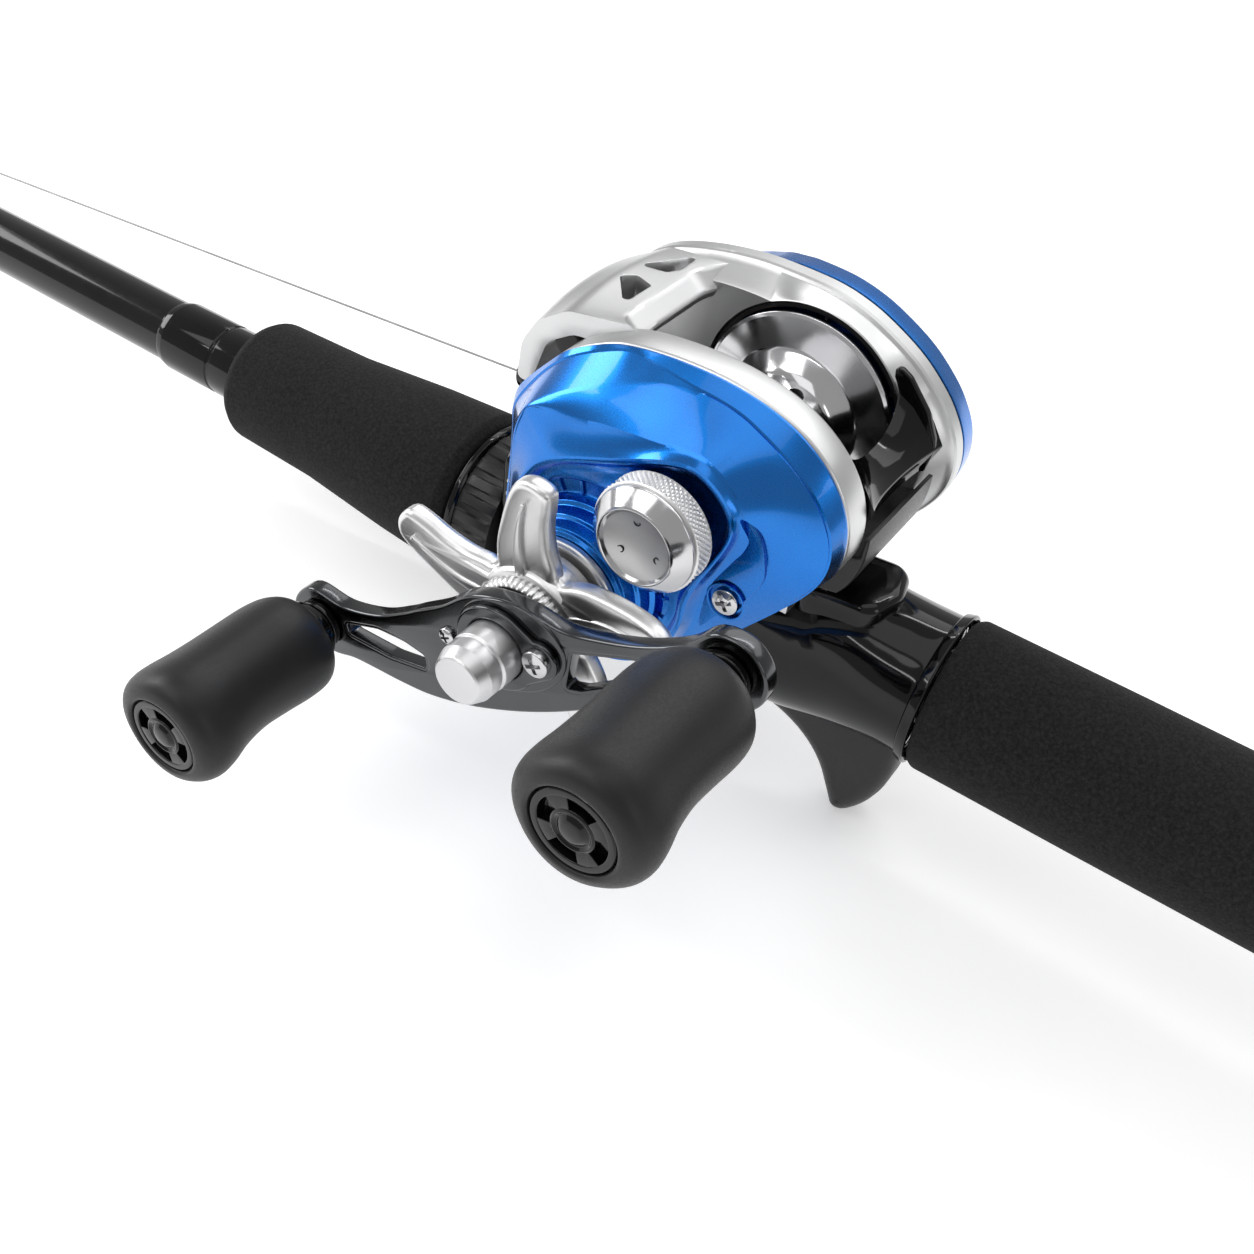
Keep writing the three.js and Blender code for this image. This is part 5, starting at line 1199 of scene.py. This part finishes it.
def knob(label, side):
    at = on_crank(side * CRANK_REACH)
    body = f"knob_{label}_grip"
    keys = np.array([  # y, radius across, radius along, shift
        (-56.5, 5.6, 5.6, 0), (-56.7, 6.6, 6.6, 0), (-57.6, 7.9, 7.8, 0), (-59.6, 8.9, 8.7, 0.05),
        (-63, 9.3, 8.95, 0.25), (-68, 9.3, 8.75, 0.55), (-73, 9.4, 8.6, 0.75), (-77.5, 9.75, 8.9, 0.6),
        (-80.8, 10.15, 9.5, 0.25), (-83.2, 10.2, 9.7, 0.05), (-85.1, 9.7, 9.3, 0.0), (-86.3, 8.7, 8.4, 0),
        (-86.85, 7.4, 7.3, 0), (-86.75, 6.7, 6.7, 0), (-86.2, 6.5, 6.5, 0), (-84.6, 6.4, 6.4, 0)])
    t = np.linspace(0, 2 * math.pi, 72, endpoint=False)
    rings = []
    for y, ra, rb, shift in smooth_path(keys, 5):
        power = 2.0 + 0.35 * np.clip((ra - 7) / 3, 0, 1)
        u = ra * np.sign(np.cos(t)) * np.abs(np.cos(t)) ** (2 / power)
        v = rb * np.sign(np.sin(t)) * np.abs(np.sin(t)) ** (2 / power) + shift
        c, s = math.cos(KNOB_LEAN), math.sin(KNOB_LEAN)
        rings.append(np.stack([at[0] + u * c - v * s, np.full(72, y), at[1] + u * s + v * c], -1))
    loft(f"knob_{label}_grip_skin", rings, "soft_touch", body, (f"knob_{label}",), cap=(True, True), sharp=40)
    lathe(f"knob_{label}_collar", "Y", at, [(-52.3, 2.3), (-52.3, 4.3, 0.3), (-53.6, 4.5, 0.3),
        (-53.9, 4.1, 0.1), (-54.4, 4.1, 0.1), (-54.8, 5.4, 0.3), (-56.3, 6.0, 0.4), (-56.6, 5.4)],
        "gloss_black", "crank", (f"knob_post_{label}",), seg=64, slot="steel")
    lathe(f"knob_{label}_post_end", "Y", at, [(-52.5, 2.2), (-48.7, 2.2, 0.2), (-48.4, 1.9, 0.1),
        (-48.4, 0)], "steel", "crank", seg=40)
    lathe(f"knob_{label}_cap_disc", "Y", at, [(-84.6, 6.45), (-86.3, 6.4, 0.2), (-86.6, 6.1, 0.2),
        (-86.6, 5.2, 0.2), (-85.3, 4.9, 0.1), (-85.3, 3.5, 0.1), (-86.5, 3.3, 0.2), (-86.7, 2.9, 0.2),
        (-86.3, 2.4, 0.2), (-86.9, 1.6, 1), (-87.05, 0)], "gloss_black", body, (f"knob_cap_{label}",),
        seg=72, sharp=35)
    for k in range(4):
        a = math.pi / 2 * k + 0.25
        bridge = np.vstack([ring_loop(0, 0, 5.3, 120)[:14], ring_loop(0, 0, 3.2, 120)[:14][::-1]])
        plate(f"knob_{label}_cap_bridge_{k + 1}", bridge, [], -86.5, -84.8, 0.12, "gloss_black", body,
            at=at, turn=a, sharp=35)


def small_cad_pieces():
    """CAD nodes that keep their shape, mostly hidden inside, take their slot's material."""
    slots = {s["node"]: s["material_slot"] for s in frame["record"]["subparts"]}
    for name, node in frame["nodes"].items():
        if node.hide_render:
            continue
        node.data.materials.clear()
        node.data.materials.append(M[slots[name]])


# ------------------------------------------------------------------ studio
FLOOR_GAP = 0.0003      # metres below the object
FLOOR_HALF = 6.0
FLOOR_GLOW = 0.30       # lifts the pale floor to near white
FILL = 0.48             # strength of the even surrounding light


def studio():
    low = cad_box[0][2] - FLOOR_GAP
    me = bpy.data.meshes.new("floor")
    s = FLOOR_HALF
    me.from_pydata([(-s, -s, low), (s, -s, low), (s, s, low), (-s, s, low)], [], [(0, 1, 2, 3)])
    mat, tree, bsdf = new_material("studio_floor", (0.9, 0.9, 0.9), 0.9)
    grain = noise(tree, place(tree), 40, 2)
    tint(tree, grain, (0.89, 0.89, 0.89), (0.91, 0.91, 0.91), bsdf.inputs["Base Color"])
    bsdf.inputs["Specular IOR Level"].default_value = 0.0
    bsdf.inputs["Emission Color"].default_value = (1, 1, 1, 1)
    bsdf.inputs["Emission Strength"].default_value = FLOOR_GLOW
    me.materials.append(mat)
    floor = bpy.data.objects.new("floor", me)
    bpy.context.scene.collection.objects.link(floor)

    sky = bpy.data.worlds.new("studio")
    sky.use_nodes = True
    sky.node_tree.nodes["Background"].inputs["Color"].default_value = (1, 1, 1, 1)
    sky.node_tree.nodes["Background"].inputs["Strength"].default_value = FILL
    bpy.context.scene.world = sky

    reel = Vector((-0.235, 0, 0.015))
    for name, aim, far, size, power in (
            ("back", (0.02, 0.70, 0.62), 2.2, (3.4, 0.7), 13.0),
            ("back_strip", (-0.10, 0.60, 0.80), 2.2, (2.2, 0.10), 8.0),
            ("left", (-0.90, -0.16, 0.39), 2.0, (0.9, 0.9), 17.0),
            ("key", (-0.42, -0.50, 0.76), 2.0, (1.1, 0.8), 6.0),
            ("front_strip", (-0.30, -0.74, 0.60), 2.0, (1.4, 0.08), 3.5),
            ("top", (0.10, -0.05, 1.0), 2.2, (2.2, 1.7), 12.0),
            ("side", (0.95, -0.15, 0.40), 2.2, (0.5, 0.9), 3.0)):
        light = bpy.data.lights.new(name, "AREA")
        light.shape = "RECTANGLE"
        light.size, light.size_y = size
        light.energy = power
        lamp = bpy.data.objects.new(name, light)
        bpy.context.scene.collection.objects.link(lamp)
        lamp.location = reel + Vector(aim).normalized() * far
        lamp.rotation_euler = (reel - lamp.location).to_track_quat("-Z", "Y").to_euler()
    bpy.context.scene.view_settings.view_transform = "Standard"
    bpy.context.scene.view_settings.look = "None"


def camera():
    data = bpy.data.cameras.new("camera")
    data.sensor_width = 36
    data.lens = 40.86
    data.clip_start = 0.01
    cam = bpy.data.objects.new("camera", data)
    bpy.context.scene.collection.objects.link(cam)
    right = Vector((0.82052854, 0.56057713, 0.11174164))
    down = Vector((0.44755682, -0.50846176, -0.73563547))
    forward = Vector((-0.35556407, 0.65362063, -0.6680975))
    turn = Matrix((right, -down, -forward)).transposed().to_4x4()
    cam.matrix_world = Matrix.Translation((-0.14437, -0.17945, 0.16070)) @ turn
    bpy.context.scene.camera = cam


camera()
studio()
rear_handle()
reel_seat()
hood_and_nut()
fore_grip()
blank()
for index in range(5):
    guide(index)
fishing_line()
reel_frame()
handle_side_plate()
drive_well()
palm_side_plate()
thumb_bar()
spool()
tension_knob()
level_wind()
star_drag()
crank()
knob("front", -1)
knob("rear", 1)
small_cad_pieces()
